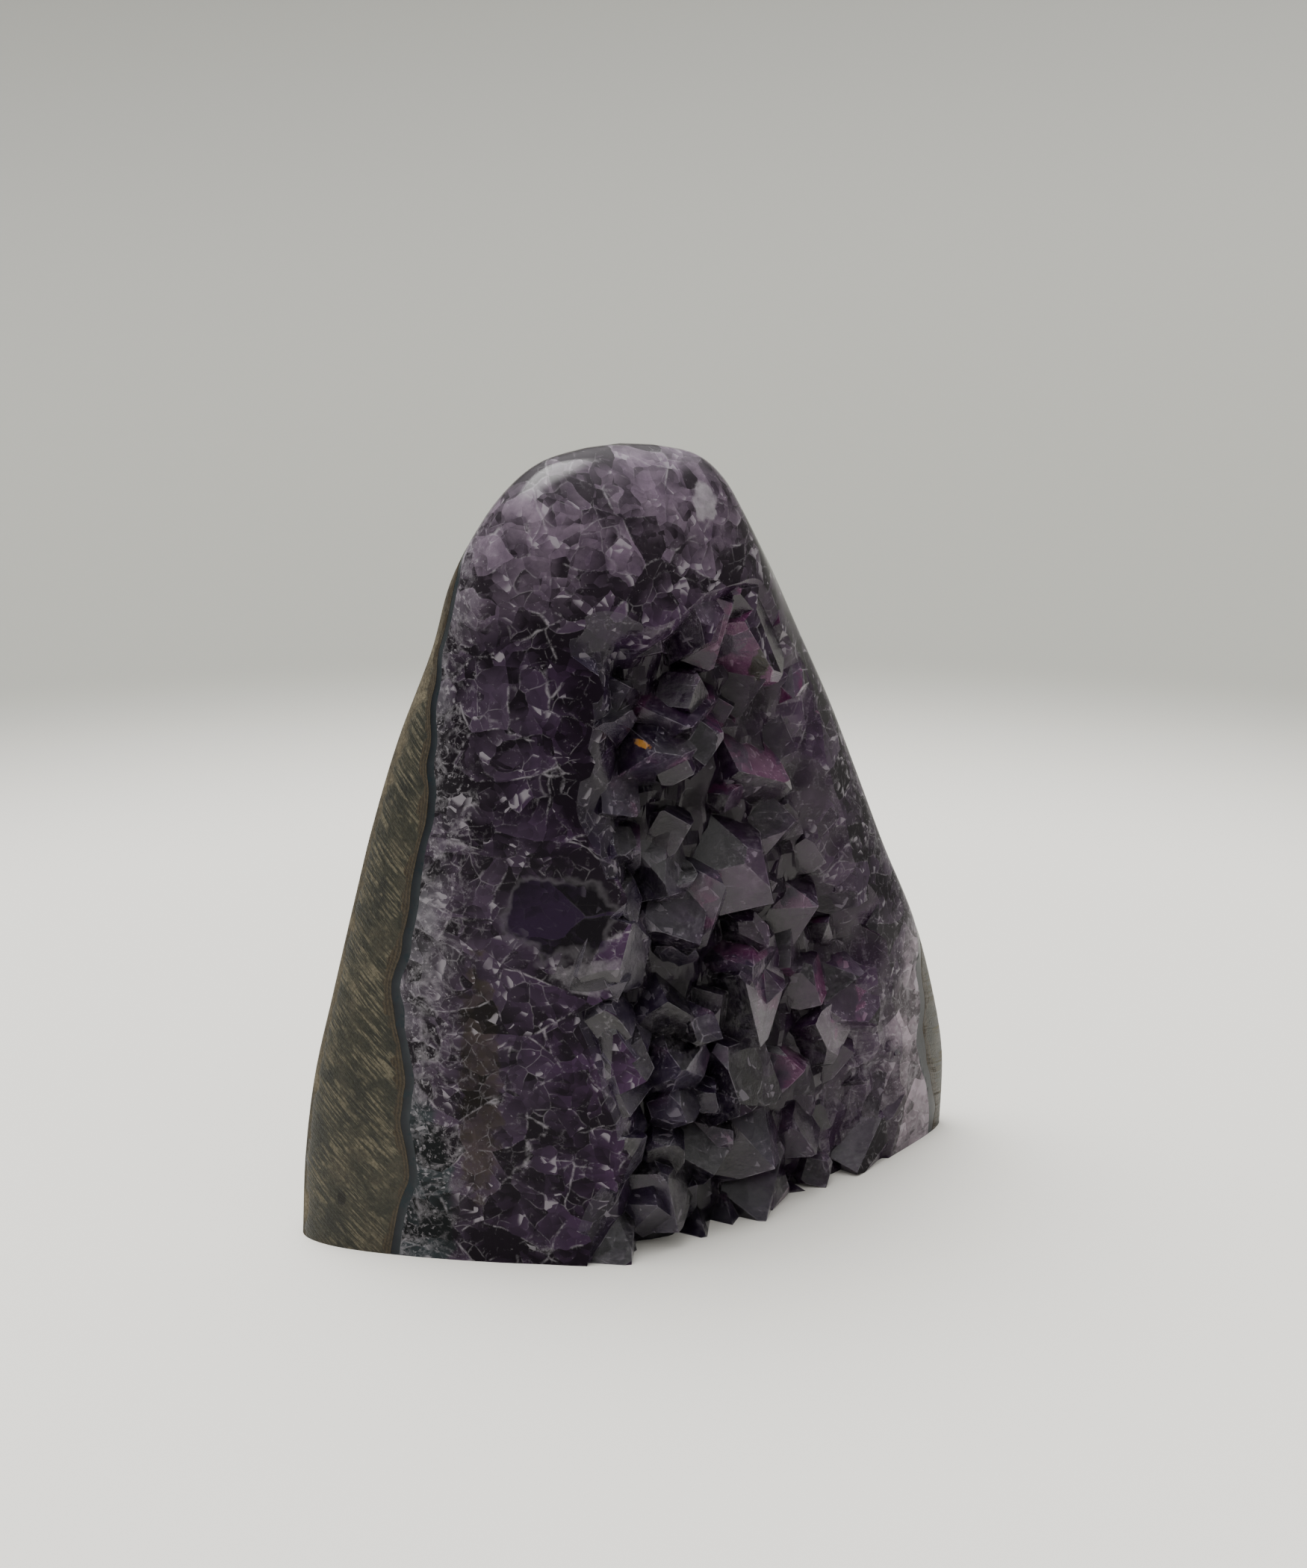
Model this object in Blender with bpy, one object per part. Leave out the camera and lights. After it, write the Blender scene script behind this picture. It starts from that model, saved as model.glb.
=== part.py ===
"""Cut-base amethyst: a slab of basalt, a thin agate band and the crystal crust that grew on it.

Metres, +Z up. The stone stands on its sawn base with the crystals facing -Y and the
basalt at +Y. The origin is the middle of the base outline.
"""

import bpy
import bmesh
import math
import random
from mathutils import Matrix, Vector, noise

MM = 0.001

# The polished form, in millimetres. Its plan at the base is a closed smooth curve through
# these points; the front corner lies left of the middle and the right end is narrow.
BASE_OUTLINE = (
    (-51.4, 14.8), (-50.6, 7.8), (-41.9, -1.7), (-28.4, -12.3), (-15.4, -19.7),
    (1.7, -18.3), (19.7, -12.0), (37.3, -3.9), (49.7, 2.6), (51.7, 6.8),
    (43.7, 12.8), (-0.4, 18.8), (-42.4, 19.8),
)
BASE_HALF_WIDTH = 52.1
BASE_HALF_DEPTH = 20.1

# Height, half width, half depth, middle x, middle y, and how far the plan has turned from
# the base outline (0) into a plain oval (1).
SECTIONS = (
    (0.0, 52.2, 19.6, 0.0, 0.0, 0.0),
    (12.0, 51.9, 19.4, 0.2, -0.3, 0.02),
    (24.0, 49.8, 18.9, -0.6, -0.8, 0.05),
    (36.0, 46.4, 18.2, -1.5, -1.3, 0.09),
    (48.0, 42.1, 17.4, -3.3, -1.9, 0.14),
    (60.0, 38.0, 16.3, -4.9, -2.6, 0.2),
    (72.0, 33.5, 15.0, -6.2, -3.2, 0.28),
    (84.0, 28.2, 13.3, -7.5, -3.8, 0.42),
    (94.0, 24.3, 11.4, -9.3, -4.2, 0.6),
    (102.0, 19.5, 9.1, -10.1, -4.4, 0.8),
    (107.0, 15.4, 6.6, -10.1, -4.5, 0.95),
    (110.0, 11.0, 4.2, -9.9, -4.5, 1.0),
    (111.4, 5.0, 1.8, -9.9, -4.5, 1.0),
)
CROWN_HEIGHT = 111.8
OVAL_POWER = 2.3
POINTS_ROUND = 44
LEVELS_PER_SECTION = 1

# Hewn back of the basalt: broad shallow chips on the faces that look towards +Y. They fade
# out where the level part of a face's direction turns away from +Y.
CHIP_SIZE = 15.0
CHIP_DEPTH = 2.6
CHIP_FADES = 0.5
CHIP_FULL = 0.95

# Each uneven outline reads its own slice of one noise field, this far along Y.
CHIP_SLICE = 50.0
SWELL_SLICE = 30.0
SIDEWAYS_SLICE = 70.0
UPWARDS_SLICE = 140.0

# The contact between basalt and crystals, where the agate band lies.
CONTACT_Y = -0.2
CONTACT_TURN = 0.022
SWELL_HEIGHT = 1.1
SWELL_LENGTH = 45.0
SWELL_CREST = 40.0
LOBE_HEIGHT = 0.9
LOBE_RISE = 9.0
LOBE_RUN = 22.0
RIGHT_SET_BACK = 3.6
RIGHT_START = 5.0
RIGHT_FULL = 36.0
RIGHT_LOW = 24.0
RIGHT_HIGH = 48.0
HEAD_LEVEL = 95.0
HEAD_LEAN = 0.55
AGATE_THICKNESS = 1.3
PIECE_GAP = 0.3
CONTACT_STEP_X = 10.0
CONTACT_STEP_Z = 5.0
SPACE_REACH_X = 60.0
SPACE_REACH_Y = 40.0
SPACE_FLOOR = -4.0
SPACE_TOP = 116.0

# The natural crystal face: inside this region the polish stops and the bed lies deeper.
DRUSE_LEFT = -24.0
DRUSE_TOP = 93.0
DRUSE_RIGHT_AT_TOP = 12.0
DRUSE_RIGHT_AT_FOOT = 41.0
DRUSE_RIGHT_LEVEL = 28.0
DRUSE_EDGE = 9.0
RAGGED_REACH = 5.0
RAGGED_SIZE = 13.0
BED_DEPTH = 10.0
BED_SHARE = 0.62
BODY_ALLOWANCE = 0.6

# Quartz habit: the tip faces stand 51.8 degrees off the crystal's axis.
TIP_FACE_ANGLE = math.radians(51.8)
ROOT_LENGTH = 12.0
FILL_SEED = 23
FILL_PITCH = 7.5
FILL_RADIUS = (4.2, 6.4)
FILL_SETBACK = (-1.2, 3.0)
FILL_JITTER = 0.3
DEEPEST_SHARE = 0.7
FILL_LEAN = math.radians(6.0)
FILL_SPREAD = math.radians(17.0)
LEAST_SHARE = 0.02
LEADING_ROOM = 0.7
EDGE_OVERSHOOT = 3.0
LESSER_FACE_SETBACK = (0.15, 0.55)
TIP_OFF_CENTRE = 0.18
FLATTENING = (0.78, 1.0)

# The leading crystals: tip x, tip z, depth of the tip below the polished form, radius,
# lean to the right, lean upwards (degrees), turn about its own axis (degrees).
LEADING_CRYSTALS = (
    (-16.0, 73.0, -2.2, 6.4, -24.0, 10.0, 12.0),
    (-6.4, 68.9, 1.2, 2.8, 6.0, -8.0, 20.0),
    (9.1, 46.6, 0.6, 5.2, 34.0, -38.0, 26.0),
    (-5.5, 61.5, 1.6, 3.4, 12.0, 10.0, 40.0),
    (-7.5, 85.0, 1.2, 5.0, 10.0, -14.0, 0.0),
    (3.5, 74.5, 1.8, 4.6, 18.0, 18.0, 35.0),
    (-17.2, 59.6, 1.4, 2.6, -12.0, 4.0, 15.0),
    (-9.5, 53.0, 2.2, 4.6, -4.0, -14.0, 8.0),
    (-9.0, 36.5, 1.6, 4.6, -6.0, 24.0, 0.0),
    (-8.6, 28.5, 1.2, 4.9, -12.0, 10.0, 30.0),
    (-7.6, 20.5, 0.5, 3.2, -6.0, 4.0, 10.0),
    (-13.4, 21.6, 0.4, 4.6, 10.0, -26.0, 25.0),
    (15.5, 21.0, 0.6, 6.6, 18.0, 10.0, 22.0),
    (9.0, 8.0, 0.2, 6.8, 14.0, -18.0, 8.0),
    (17.5, 9.0, 0.8, 4.6, 22.0, -20.0, 34.0),
    (-8.6, 2.6, 0.4, 6.0, 4.0, -34.0, 14.0),
    (0.9, 36.0, 2.6, 4.0, 8.0, 30.0, 44.0),
    (-3.5, 89.0, 0.2, 4.8, 14.0, 20.0, 50.0),
    (4.5, 41.5, 1.0, 5.0, 14.0, 28.0, 12.0),
    (13.2, 34.7, 1.2, 4.8, 20.0, 6.0, 20.0),
    (16.8, 44.7, 0.9, 5.8, 24.0, 8.0, 48.0),
    (18.0, 56.5, 0.6, 5.6, 22.0, 10.0, 16.0),
    (5.6, 82.0, 1.0, 5.4, 20.0, 12.0, 30.0),
    (12.0, 66.0, 1.0, 5.8, 22.0, -6.0, 6.0),
    (25.8, 19.5, 0.6, 4.8, 24.0, 4.0, 40.0),
    (27.8, 30.0, 0.5, 4.4, 26.0, 4.0, 10.0),
    (-18.0, 13.5, 0.4, 4.4, -8.0, 2.0, 20.0),
)

COLOURS = {
    "basalt_matrix": (0.13, 0.12, 0.09, 0.75),
    "agate_band": (0.05, 0.08, 0.11, 0.25),
    "amethyst_crystals": (0.11, 0.05, 0.17, 0.12),
}


def clear_scene():
    """Remove whatever the open file already holds."""
    for thing in list(bpy.data.objects):
        bpy.data.objects.remove(thing, do_unlink=True)


def new_collection(name):
    collection = bpy.data.collections.new(name)
    bpy.context.scene.collection.children.link(collection)
    return collection


def stone_material(name):
    """One Principled finish: colour and roughness come from the table above."""
    red, green, blue, roughness = COLOURS[name]
    material = bpy.data.materials.new(name)
    material.use_nodes = True
    shader = material.node_tree.nodes["Principled BSDF"]
    shader.inputs["Base Color"].default_value = (red, green, blue, 1.0)
    shader.inputs["Roughness"].default_value = roughness
    shader.inputs["Metallic"].default_value = 0.0
    return material


def smooth_step(value, low, high):
    """0 below low, 1 above high and an even ease between."""
    share = min(max((value - low) / (high - low), 0.0), 1.0)
    return share * share * (3.0 - 2.0 * share)


def spline(before, start, end, after, share):
    """Catmull-Rom value between start and end."""
    return 0.5 * (
        2.0 * start
        + (end - before) * share
        + (2.0 * before - 5.0 * start + 4.0 * end - after) * share ** 2
        + (3.0 * start - before - 3.0 * end + after) * share ** 3
    )


def plan_points(count):
    """The base outline and the matching oval, both for a half width and depth of 1."""
    corners = len(BASE_OUTLINE)
    outline = []
    for step in range(count):
        place = step * corners / count
        index = int(place)
        near = [BASE_OUTLINE[(index + shift) % corners] for shift in (-1, 0, 1, 2)]
        x = spline(*(point[0] for point in near), place - index) / BASE_HALF_WIDTH
        y = spline(*(point[1] for point in near), place - index) / BASE_HALF_DEPTH
        angle = math.atan2(y, x)
        reach = abs(math.cos(angle)) ** OVAL_POWER + abs(math.sin(angle)) ** OVAL_POWER
        radius = reach ** (-1.0 / OVAL_POWER)
        outline.append((x, y, radius * math.cos(angle), radius * math.sin(angle)))
    return outline


def section_at(place):
    """The six section values at a place counted in rows of SECTIONS."""
    last = len(SECTIONS) - 1
    index = min(int(place), last - 1)
    rows = [SECTIONS[min(max(index + shift, 0), last)] for shift in (-1, 0, 1, 2)]
    return [spline(*(row[k] for row in rows), place - index) for k in range(6)]


def ring_at(place, plan):
    """Points of the polished form on one level, in millimetres."""
    height, half_width, half_depth, middle_x, middle_y, oval = section_at(place)
    ring = []
    for base_x, base_y, oval_x, oval_y in plan:
        x = middle_x + half_width * (base_x + (oval_x - base_x) * oval)
        y = middle_y + half_depth * (base_y + (oval_y - base_y) * oval)
        ring.append(Vector((x, y, height)))
    return ring


def place_of_height(height):
    """Where a height lies, counted in rows of SECTIONS."""
    for index in range(len(SECTIONS) - 1):
        low, high = SECTIONS[index][0], SECTIONS[index + 1][0]
        if height <= high:
            return index + (height - low) / (high - low)
    return len(SECTIONS) - 1.0


def front_y(x, height, plan):
    """Depth of the polished form's front face at x and height, in millimetres."""
    ring = ring_at(place_of_height(height), plan)
    best = None
    for start, end in zip(ring, ring[1:] + ring[:1]):
        if end.x > start.x and start.x <= x <= end.x:
            share = (x - start.x) / (end.x - start.x)
            y = start.y + (end.y - start.y) * share
            best = y if best is None else min(best, y)
    return best


def contact_y(x, z):
    """Depth of the middle of the agate band: a gentle swell with rounded lobes on it."""
    swell = SWELL_HEIGHT * math.cos(math.tau * (z - SWELL_CREST) / SWELL_LENGTH)
    lobes = LOBE_HEIGHT * noise.noise(Vector((x / LOBE_RUN, 0.0, z / LOBE_RISE)))
    lean = HEAD_LEAN * max(0.0, z - HEAD_LEVEL)
    right = RIGHT_SET_BACK * smooth_step(x, RIGHT_START, RIGHT_FULL)
    right *= smooth_step(z, RIGHT_LOW, RIGHT_HIGH)
    return CONTACT_Y + CONTACT_TURN * x + swell + lobes + lean + right


def druse_share(x, z):
    """1 inside the natural crystal face, 0 on the polish, with an eased, ragged edge."""
    sideways = RAGGED_REACH * noise.noise(Vector((x, SIDEWAYS_SLICE, z)) / RAGGED_SIZE)
    upwards = RAGGED_REACH * noise.noise(Vector((x, UPWARDS_SLICE, z)) / RAGGED_SIZE)
    x += sideways
    z += upwards
    rise = min(max((z - DRUSE_RIGHT_LEVEL) / (DRUSE_TOP - DRUSE_RIGHT_LEVEL), 0.0), 1.0)
    right = DRUSE_RIGHT_AT_FOOT + (DRUSE_RIGHT_AT_TOP - DRUSE_RIGHT_AT_FOOT) * rise
    return (
        smooth_step(x, DRUSE_LEFT, DRUSE_LEFT + DRUSE_EDGE)
        * smooth_step(-x, -right, -right + DRUSE_EDGE)
        * smooth_step(-z, -DRUSE_TOP, -DRUSE_TOP + DRUSE_EDGE)
    )


def bed_depth(point):
    """How far the crystal bed lies below the polished form at a point of its front."""
    crust = contact_y(point.x, point.z) - point.y
    return min(BED_DEPTH, BED_SHARE * max(crust, 0.0)) * druse_share(point.x, point.z)


def hewn_chip(point, outward):
    """Inward depth of a chip on the back, flat-floored and only where the face looks back."""
    cell = noise.cell(Vector((point.x, point.y + CHIP_SLICE, point.z)) / CHIP_SIZE)
    swell = noise.noise(Vector((point.x, SWELL_SLICE, point.z)) / CHIP_SIZE)
    rough = max(0.0, 0.25 + 0.5 * (cell + swell))
    return CHIP_DEPTH * rough * smooth_step(outward.y, CHIP_FADES, CHIP_FULL)


def outward_at(ring, index):
    """Level direction that points out of the ring at one of its points."""
    along = ring[(index + 1) % len(ring)] - ring[index - 1]
    return Vector((along.y, -along.x, 0.0)).normalized()


def mesh_object(name, bm, collection):
    """Scale a mesh drawn in millimetres to metres and put it in a collection."""
    bmesh.ops.scale(bm, vec=(MM, MM, MM), verts=bm.verts)
    mesh = bpy.data.meshes.new(name)
    bm.to_mesh(mesh)
    bm.free()
    thing = bpy.data.objects.new(name, mesh)
    collection.objects.link(thing)
    return thing


def hide_cutter(thing):
    thing.hide_render = True
    thing.display_type = "WIRE"


def stone_form(name, collection, shift, sunk=0.0):
    """Loft the form through its levels; shift(point, outward) moves each point outwards."""
    plan = plan_points(POINTS_ROUND)
    bm = bmesh.new()
    rings = []
    steps = (len(SECTIONS) - 1) * LEVELS_PER_SECTION
    for step in range(steps + 1):
        ring = ring_at(step / LEVELS_PER_SECTION, plan)
        moved = []
        for index, point in enumerate(ring):
            outward = outward_at(ring, index)
            moved.append(point + outward * shift(point, outward))
        if step == 0:
            moved = [point - Vector((0.0, 0.0, sunk)) for point in moved]
        rings.append([bm.verts.new(point) for point in moved])
    for lower, upper in zip(rings, rings[1:]):
        for index in range(POINTS_ROUND):
            after = (index + 1) % POINTS_ROUND
            bm.faces.new((lower[index], lower[after], upper[after], upper[index]))
    crown = bm.verts.new((SECTIONS[-1][3], SECTIONS[-1][4], CROWN_HEIGHT))
    for index in range(POINTS_ROUND):
        bm.faces.new((rings[-1][index], rings[-1][(index + 1) % POINTS_ROUND], crown))
    bm.faces.new(list(reversed(rings[0])))
    bmesh.ops.triangulate(bm, faces=bm.faces)
    return mesh_object(name, bm, collection)


def contact_space(name, collection, near, far):
    """A closed block between two sheets that follow the contact; None is a flat far side."""
    columns = round(2.0 * SPACE_REACH_X / CONTACT_STEP_X)
    rows = round((SPACE_TOP - SPACE_FLOOR) / CONTACT_STEP_Z)
    bm = bmesh.new()
    bmesh.ops.create_grid(bm, x_segments=columns, y_segments=rows, size=1.0)
    front = list(bm.verts)
    copy = bmesh.ops.duplicate(bm, geom=bm.verts[:] + bm.edges[:] + bm.faces[:])
    back = [item for item in copy["geom"] if isinstance(item, bmesh.types.BMVert)]
    bmesh.ops.reverse_faces(
        bm, faces=[item for item in copy["geom"] if isinstance(item, bmesh.types.BMFace)]
    )
    for verts, offset, flat in ((front, near, -SPACE_REACH_Y), (back, far, SPACE_REACH_Y)):
        for vert in verts:
            x = vert.co.x * SPACE_REACH_X
            z = SPACE_FLOOR + (vert.co.y + 1.0) / 2.0 * (SPACE_TOP - SPACE_FLOOR)
            y = flat if offset is None else contact_y(x, z) + offset
            vert.co = (x, y, z)
    bmesh.ops.bridge_loops(bm, edges=[edge for edge in bm.edges if edge.is_boundary])
    bmesh.ops.triangulate(bm, faces=bm.faces)
    bmesh.ops.recalc_face_normals(bm, faces=bm.faces)
    thing = mesh_object(name, bm, collection)
    hide_cutter(thing)
    return thing


def add_boolean(thing, operation, operand):
    """Cut or join with another object, or with every object of a collection."""
    modifier = thing.modifiers.new(operation.title(), "BOOLEAN")
    modifier.operation = operation
    modifier.solver = "EXACT"
    if isinstance(operand, bpy.types.Collection):
        modifier.operand_type = "COLLECTION"
        modifier.collection = operand
    else:
        modifier.object = operand
    return modifier


def quartz_point(name, collection, tip, axis, radius, turn, rng):
    """A six-sided prism with three large and three lesser tip faces."""
    length = ROOT_LENGTH + radius * math.tan(TIP_FACE_ANGLE)
    bm = bmesh.new()
    bmesh.ops.create_cone(
        bm, cap_ends=True, segments=6, radius1=radius, radius2=radius, depth=length * 2.0
    )
    for side in range(6):
        bearing = math.radians(30.0 + 60.0 * side)
        setback = 0.0 if side % 2 == 0 else rng.uniform(*LESSER_FACE_SETBACK) * radius
        level = math.sin(TIP_FACE_ANGLE)
        normal = Vector((math.cos(bearing) * level, math.sin(bearing) * level, 0.0))
        normal.z = math.cos(TIP_FACE_ANGLE)
        reach = TIP_OFF_CENTRE * radius
        off_axis = Vector((rng.uniform(-reach, reach), rng.uniform(-reach, reach), 0.0))
        bmesh.ops.bisect_plane(
            bm,
            geom=bm.verts[:] + bm.edges[:] + bm.faces[:],
            plane_co=off_axis + Vector((0.0, 0.0, setback)),
            plane_no=normal,
            clear_outer=True,
        )
        bmesh.ops.holes_fill(bm, edges=[edge for edge in bm.edges if edge.is_boundary])
    bmesh.ops.scale(bm, vec=(1.0, rng.uniform(*FLATTENING), 1.0), verts=bm.verts)
    stand = axis.to_track_quat("Z", "Y").to_matrix().to_4x4()
    spin = Matrix.Rotation(turn, 4, "Z")
    bmesh.ops.transform(bm, matrix=Matrix.Translation(tip) @ stand @ spin, verts=bm.verts)
    bmesh.ops.triangulate(bm, faces=bm.faces)
    bmesh.ops.recalc_face_normals(bm, faces=bm.faces)
    thing = mesh_object(name, bm, collection)
    hide_cutter(thing)
    return thing


def leaning_axis(right, up):
    """A direction that starts at -Y and leans to the right and upwards by two angles."""
    return Vector((math.tan(right), -1.0, math.tan(up))).normalized()


def leading_crystals(collection, plan):
    rng = random.Random(FILL_SEED + 1)
    for number, row in enumerate(LEADING_CRYSTALS, start=1):
        x, z, setback, radius, right, up, turn = row
        axis = leaning_axis(math.radians(right), math.radians(up))
        tip = Vector((x, front_y(x, z, plan) + setback, z))
        name = f"leading_{number:02d}"
        quartz_point(name, collection, tip, axis, radius, math.radians(turn), rng)


def clear_of_leading(x, z):
    """True where no leading crystal's tip already fills the place."""
    return all(
        math.hypot(x - row[0], z - row[1]) > LEADING_ROOM * row[3] for row in LEADING_CRYSTALS
    )


def fill_crystals(collection, plan):
    """Smaller crystals on a jittered grid wherever the leading ones leave the bed bare."""
    rng = random.Random(FILL_SEED)
    row_pitch = FILL_PITCH * math.sin(math.radians(60.0))
    rows = int((DRUSE_TOP + RAGGED_REACH) / row_pitch)
    left = DRUSE_LEFT - RAGGED_REACH
    columns = int((DRUSE_RIGHT_AT_FOOT + RAGGED_REACH - left) / FILL_PITCH)
    number = 0
    for row in range(rows + 1):
        for column in range(columns + 1):
            off_x = 0.5 * (row % 2) + rng.uniform(-FILL_JITTER, FILL_JITTER)
            off_z = 0.4 + rng.uniform(-FILL_JITTER, FILL_JITTER)
            x = left + (column + off_x) * FILL_PITCH
            z = (row + off_z) * row_pitch
            radius = rng.uniform(*FILL_RADIUS)
            setback = rng.uniform(*FILL_SETBACK)
            right = FILL_LEAN + rng.gauss(0.0, 1.0) * FILL_SPREAD
            up = rng.gauss(0.0, 1.0) * FILL_SPREAD
            turn = rng.uniform(0.0, math.radians(60.0))
            share = druse_share(x, z)
            if share < LEAST_SHARE or not clear_of_leading(x, z):
                continue
            face = front_y(x, z, plan)
            room = (contact_y(x, z) - face) * BED_SHARE
            setback = min(setback, room * DEEPEST_SHARE) * share - EDGE_OVERSHOOT * (1.0 - share)
            tip = Vector((x, face + setback, z))
            number += 1
            name = f"fill_{number:03d}"
            axis = leaning_axis(right, up)
            quartz_point(name, collection, tip, axis, radius, turn, rng)


def build_basalt(parts, cutters):
    """The rock behind the agate, with its hewn back."""
    basalt = stone_form("basalt_matrix", parts, lambda p, out: -hewn_chip(p, out))
    near = AGATE_THICKNESS / 2.0 + PIECE_GAP
    space = contact_space("rock_space", cutters, near, None)
    add_boolean(basalt, "INTERSECT", space)
    return basalt


def build_agate(parts, cutters):
    """The thin band that lines the contact."""
    agate = stone_form("agate_band", parts, lambda p, out: -hewn_chip(p, out))
    half = AGATE_THICKNESS / 2.0
    space = contact_space("band_space", cutters, -half, half)
    add_boolean(agate, "INTERSECT", space)
    return agate


def build_amethyst(parts, cutters, crystals):
    """The crust: a bed under the natural face, the crystals on it, and the polish over all."""
    plan = plan_points(POINTS_ROUND * 2)
    crust = stone_form(
        "amethyst_crystals",
        parts,
        lambda p, out: BODY_ALLOWANCE - bed_depth(p) * (1.0 if out.y < 0.0 else 0.0),
        sunk=1.0,
    )
    leading_crystals(crystals, plan)
    fill_crystals(crystals, plan)
    add_boolean(crust, "UNION", crystals)
    polish = stone_form("polished_form", cutters, lambda p, out: -hewn_chip(p, out))
    hide_cutter(polish)
    add_boolean(crust, "INTERSECT", polish)
    far = -AGATE_THICKNESS / 2.0 - PIECE_GAP
    space = contact_space("crystal_space", cutters, None, far)
    add_boolean(crust, "INTERSECT", space)
    return crust


def build():
    clear_scene()
    parts = new_collection("amethyst_geode")
    cutters = new_collection("cutters")
    crystals = new_collection("crystals")
    for thing in (
        build_basalt(parts, cutters),
        build_agate(parts, cutters),
        build_amethyst(parts, cutters, crystals),
    ):
        thing.data.materials.append(stone_material(thing.name))


build()
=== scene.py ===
"""Looks of a cut-base amethyst: hewn basalt, a polished agate band and a crust of quartz.

Laid out as an add-on. Every size is in millimetres in the tables below and in metres in
the panel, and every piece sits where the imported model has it.
"""

import math
import random

import bmesh
import bpy
from mathutils import Matrix, Vector, noise


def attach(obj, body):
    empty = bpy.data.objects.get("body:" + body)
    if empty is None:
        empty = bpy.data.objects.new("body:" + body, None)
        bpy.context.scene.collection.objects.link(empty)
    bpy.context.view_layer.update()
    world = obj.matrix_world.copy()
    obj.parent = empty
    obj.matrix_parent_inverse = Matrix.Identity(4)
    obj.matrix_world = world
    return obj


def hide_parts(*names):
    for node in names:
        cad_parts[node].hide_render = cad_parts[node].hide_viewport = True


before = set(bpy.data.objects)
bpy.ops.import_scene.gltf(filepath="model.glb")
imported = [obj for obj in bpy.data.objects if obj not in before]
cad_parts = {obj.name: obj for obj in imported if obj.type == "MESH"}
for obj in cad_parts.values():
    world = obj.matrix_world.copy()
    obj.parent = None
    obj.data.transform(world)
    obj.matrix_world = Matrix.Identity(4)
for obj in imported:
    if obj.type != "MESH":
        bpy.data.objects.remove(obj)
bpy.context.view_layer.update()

bl_info = {
    "name": "Cut-base amethyst",
    "version": (1, 0, 0),
    "blender": (4, 5, 0),
    "location": "3D View > Sidebar > Amethyst",
    "description": "Makes the basalt, the agate band, the amethyst crust and the stage",
    "category": "Object",
}

MM = 0.001
BODY = "root"

# Soft lights of the studio: direction, cosines where each starts and is full, radiance.
STUDIO_LIGHTS = (
    ((-0.2, 0.2, 1.0), 0.84, 0.97, 8.0),
    ((0.0, 0.0, 1.0), 0.2, 0.9, 1.2),
    ((-0.8, -0.1, 0.5), 0.7, 0.95, 0.4),
)
ROOM_RADIANCE = 0.12
LIGHT_COLOUR = "#fffefc"

# The round floor and the start of the camera's view, in metres, and the sensor in mm.
SWEEP_FLAT = 0.9
SWEEP_CURVE = 0.7
SWEEP_FLAT_STEPS = 8
SWEEP_CURVE_STEPS = 12
SWEEP_SIDES = 96
SENSOR_WIDTH = 36.0
CLIP_START = 0.01

# Directions on the sawn flank, about 1 long: across the saw marks and along them.
SAW_ACROSS = (0.50, -0.46, 0.73)
SAW_ALONG = (0.50, -0.54, -0.68)
SAW_ALONG_SHARE = 0.07
SAW_MARKS_PER_MM = 2.3

# Noises in the basalt: size of their features in mm, detail and roughness. They are its
# mottling, its grit and the wandering of the saw marks and of the rind.
BASALT_NOISES = ((5.0, 6.0, 0.68), (0.42, 3.0, 0.75), (4.5, 3.0, 0.65))

# ---------------------------------------------------------------- the stone's form, in mm

# Plan at the base: a closed smooth curve through these points.
BASE_OUTLINE = (
    (-51.4, 14.8), (-50.6, 7.8), (-41.9, -1.7), (-28.4, -12.3), (-15.4, -19.7),
    (1.7, -18.3), (19.7, -12.0), (37.3, -3.9), (49.7, 2.6), (51.7, 6.8),
    (43.7, 12.8), (-0.4, 18.8), (-42.4, 19.8),
)
BASE_HALF_WIDTH = 52.1
BASE_HALF_DEPTH = 20.1

# Height, half width, half depth, middle x, middle y, and the share of a plain oval.
SECTIONS = (
    (0.0, 52.2, 19.6, 0.0, 0.0, 0.0),
    (12.0, 51.9, 19.4, 0.2, -0.3, 0.02),
    (24.0, 49.8, 18.9, -0.6, -0.8, 0.05),
    (36.0, 46.4, 18.2, -1.5, -1.3, 0.09),
    (48.0, 42.1, 17.4, -3.3, -1.9, 0.14),
    (60.0, 38.0, 16.3, -4.9, -2.6, 0.2),
    (72.0, 33.5, 15.0, -6.2, -3.2, 0.28),
    (84.0, 28.2, 13.3, -7.5, -3.8, 0.42),
    (94.0, 24.3, 11.4, -9.3, -4.2, 0.6),
    (102.0, 19.5, 9.1, -10.1, -4.4, 0.8),
    (107.0, 15.4, 6.6, -10.1, -4.5, 0.95),
    (110.0, 11.0, 4.2, -9.9, -4.5, 1.0),
    (111.4, 5.0, 1.8, -9.9, -4.5, 1.0),
)
CROWN_HEIGHT = 111.8
OVAL_POWER = 2.3

# Hewn back of the basalt.
CHIP_SIZE = 15.0
CHIP_DEPTH = 2.6
CHIP_RAMP = 0.3
CHIP_FADES = 0.5
CHIP_FULL = 0.95
CHIP_TOP = 109.0
CHIP_TOP_EASE = 5.0
CHIP_LEVEL = 0.25
CHIP_SWING = 0.5
CHIP_SLICE = 50.0
SWELL_SLICE = 30.0
HEWN_FADES = 0.35
HEWN_FULL = 0.8
HEWN_GRAIN = 4.0
HEWN_LEDGE = 9.0
HEWN_PITS = 2.2
HEWN_FRACTAL = (1.0, 2.0, 5)
HEWN_LEVEL = 0.6
HEWN_GRAIN_SHARE = 0.7
HEWN_LEDGE_SHARE = 0.5

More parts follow.
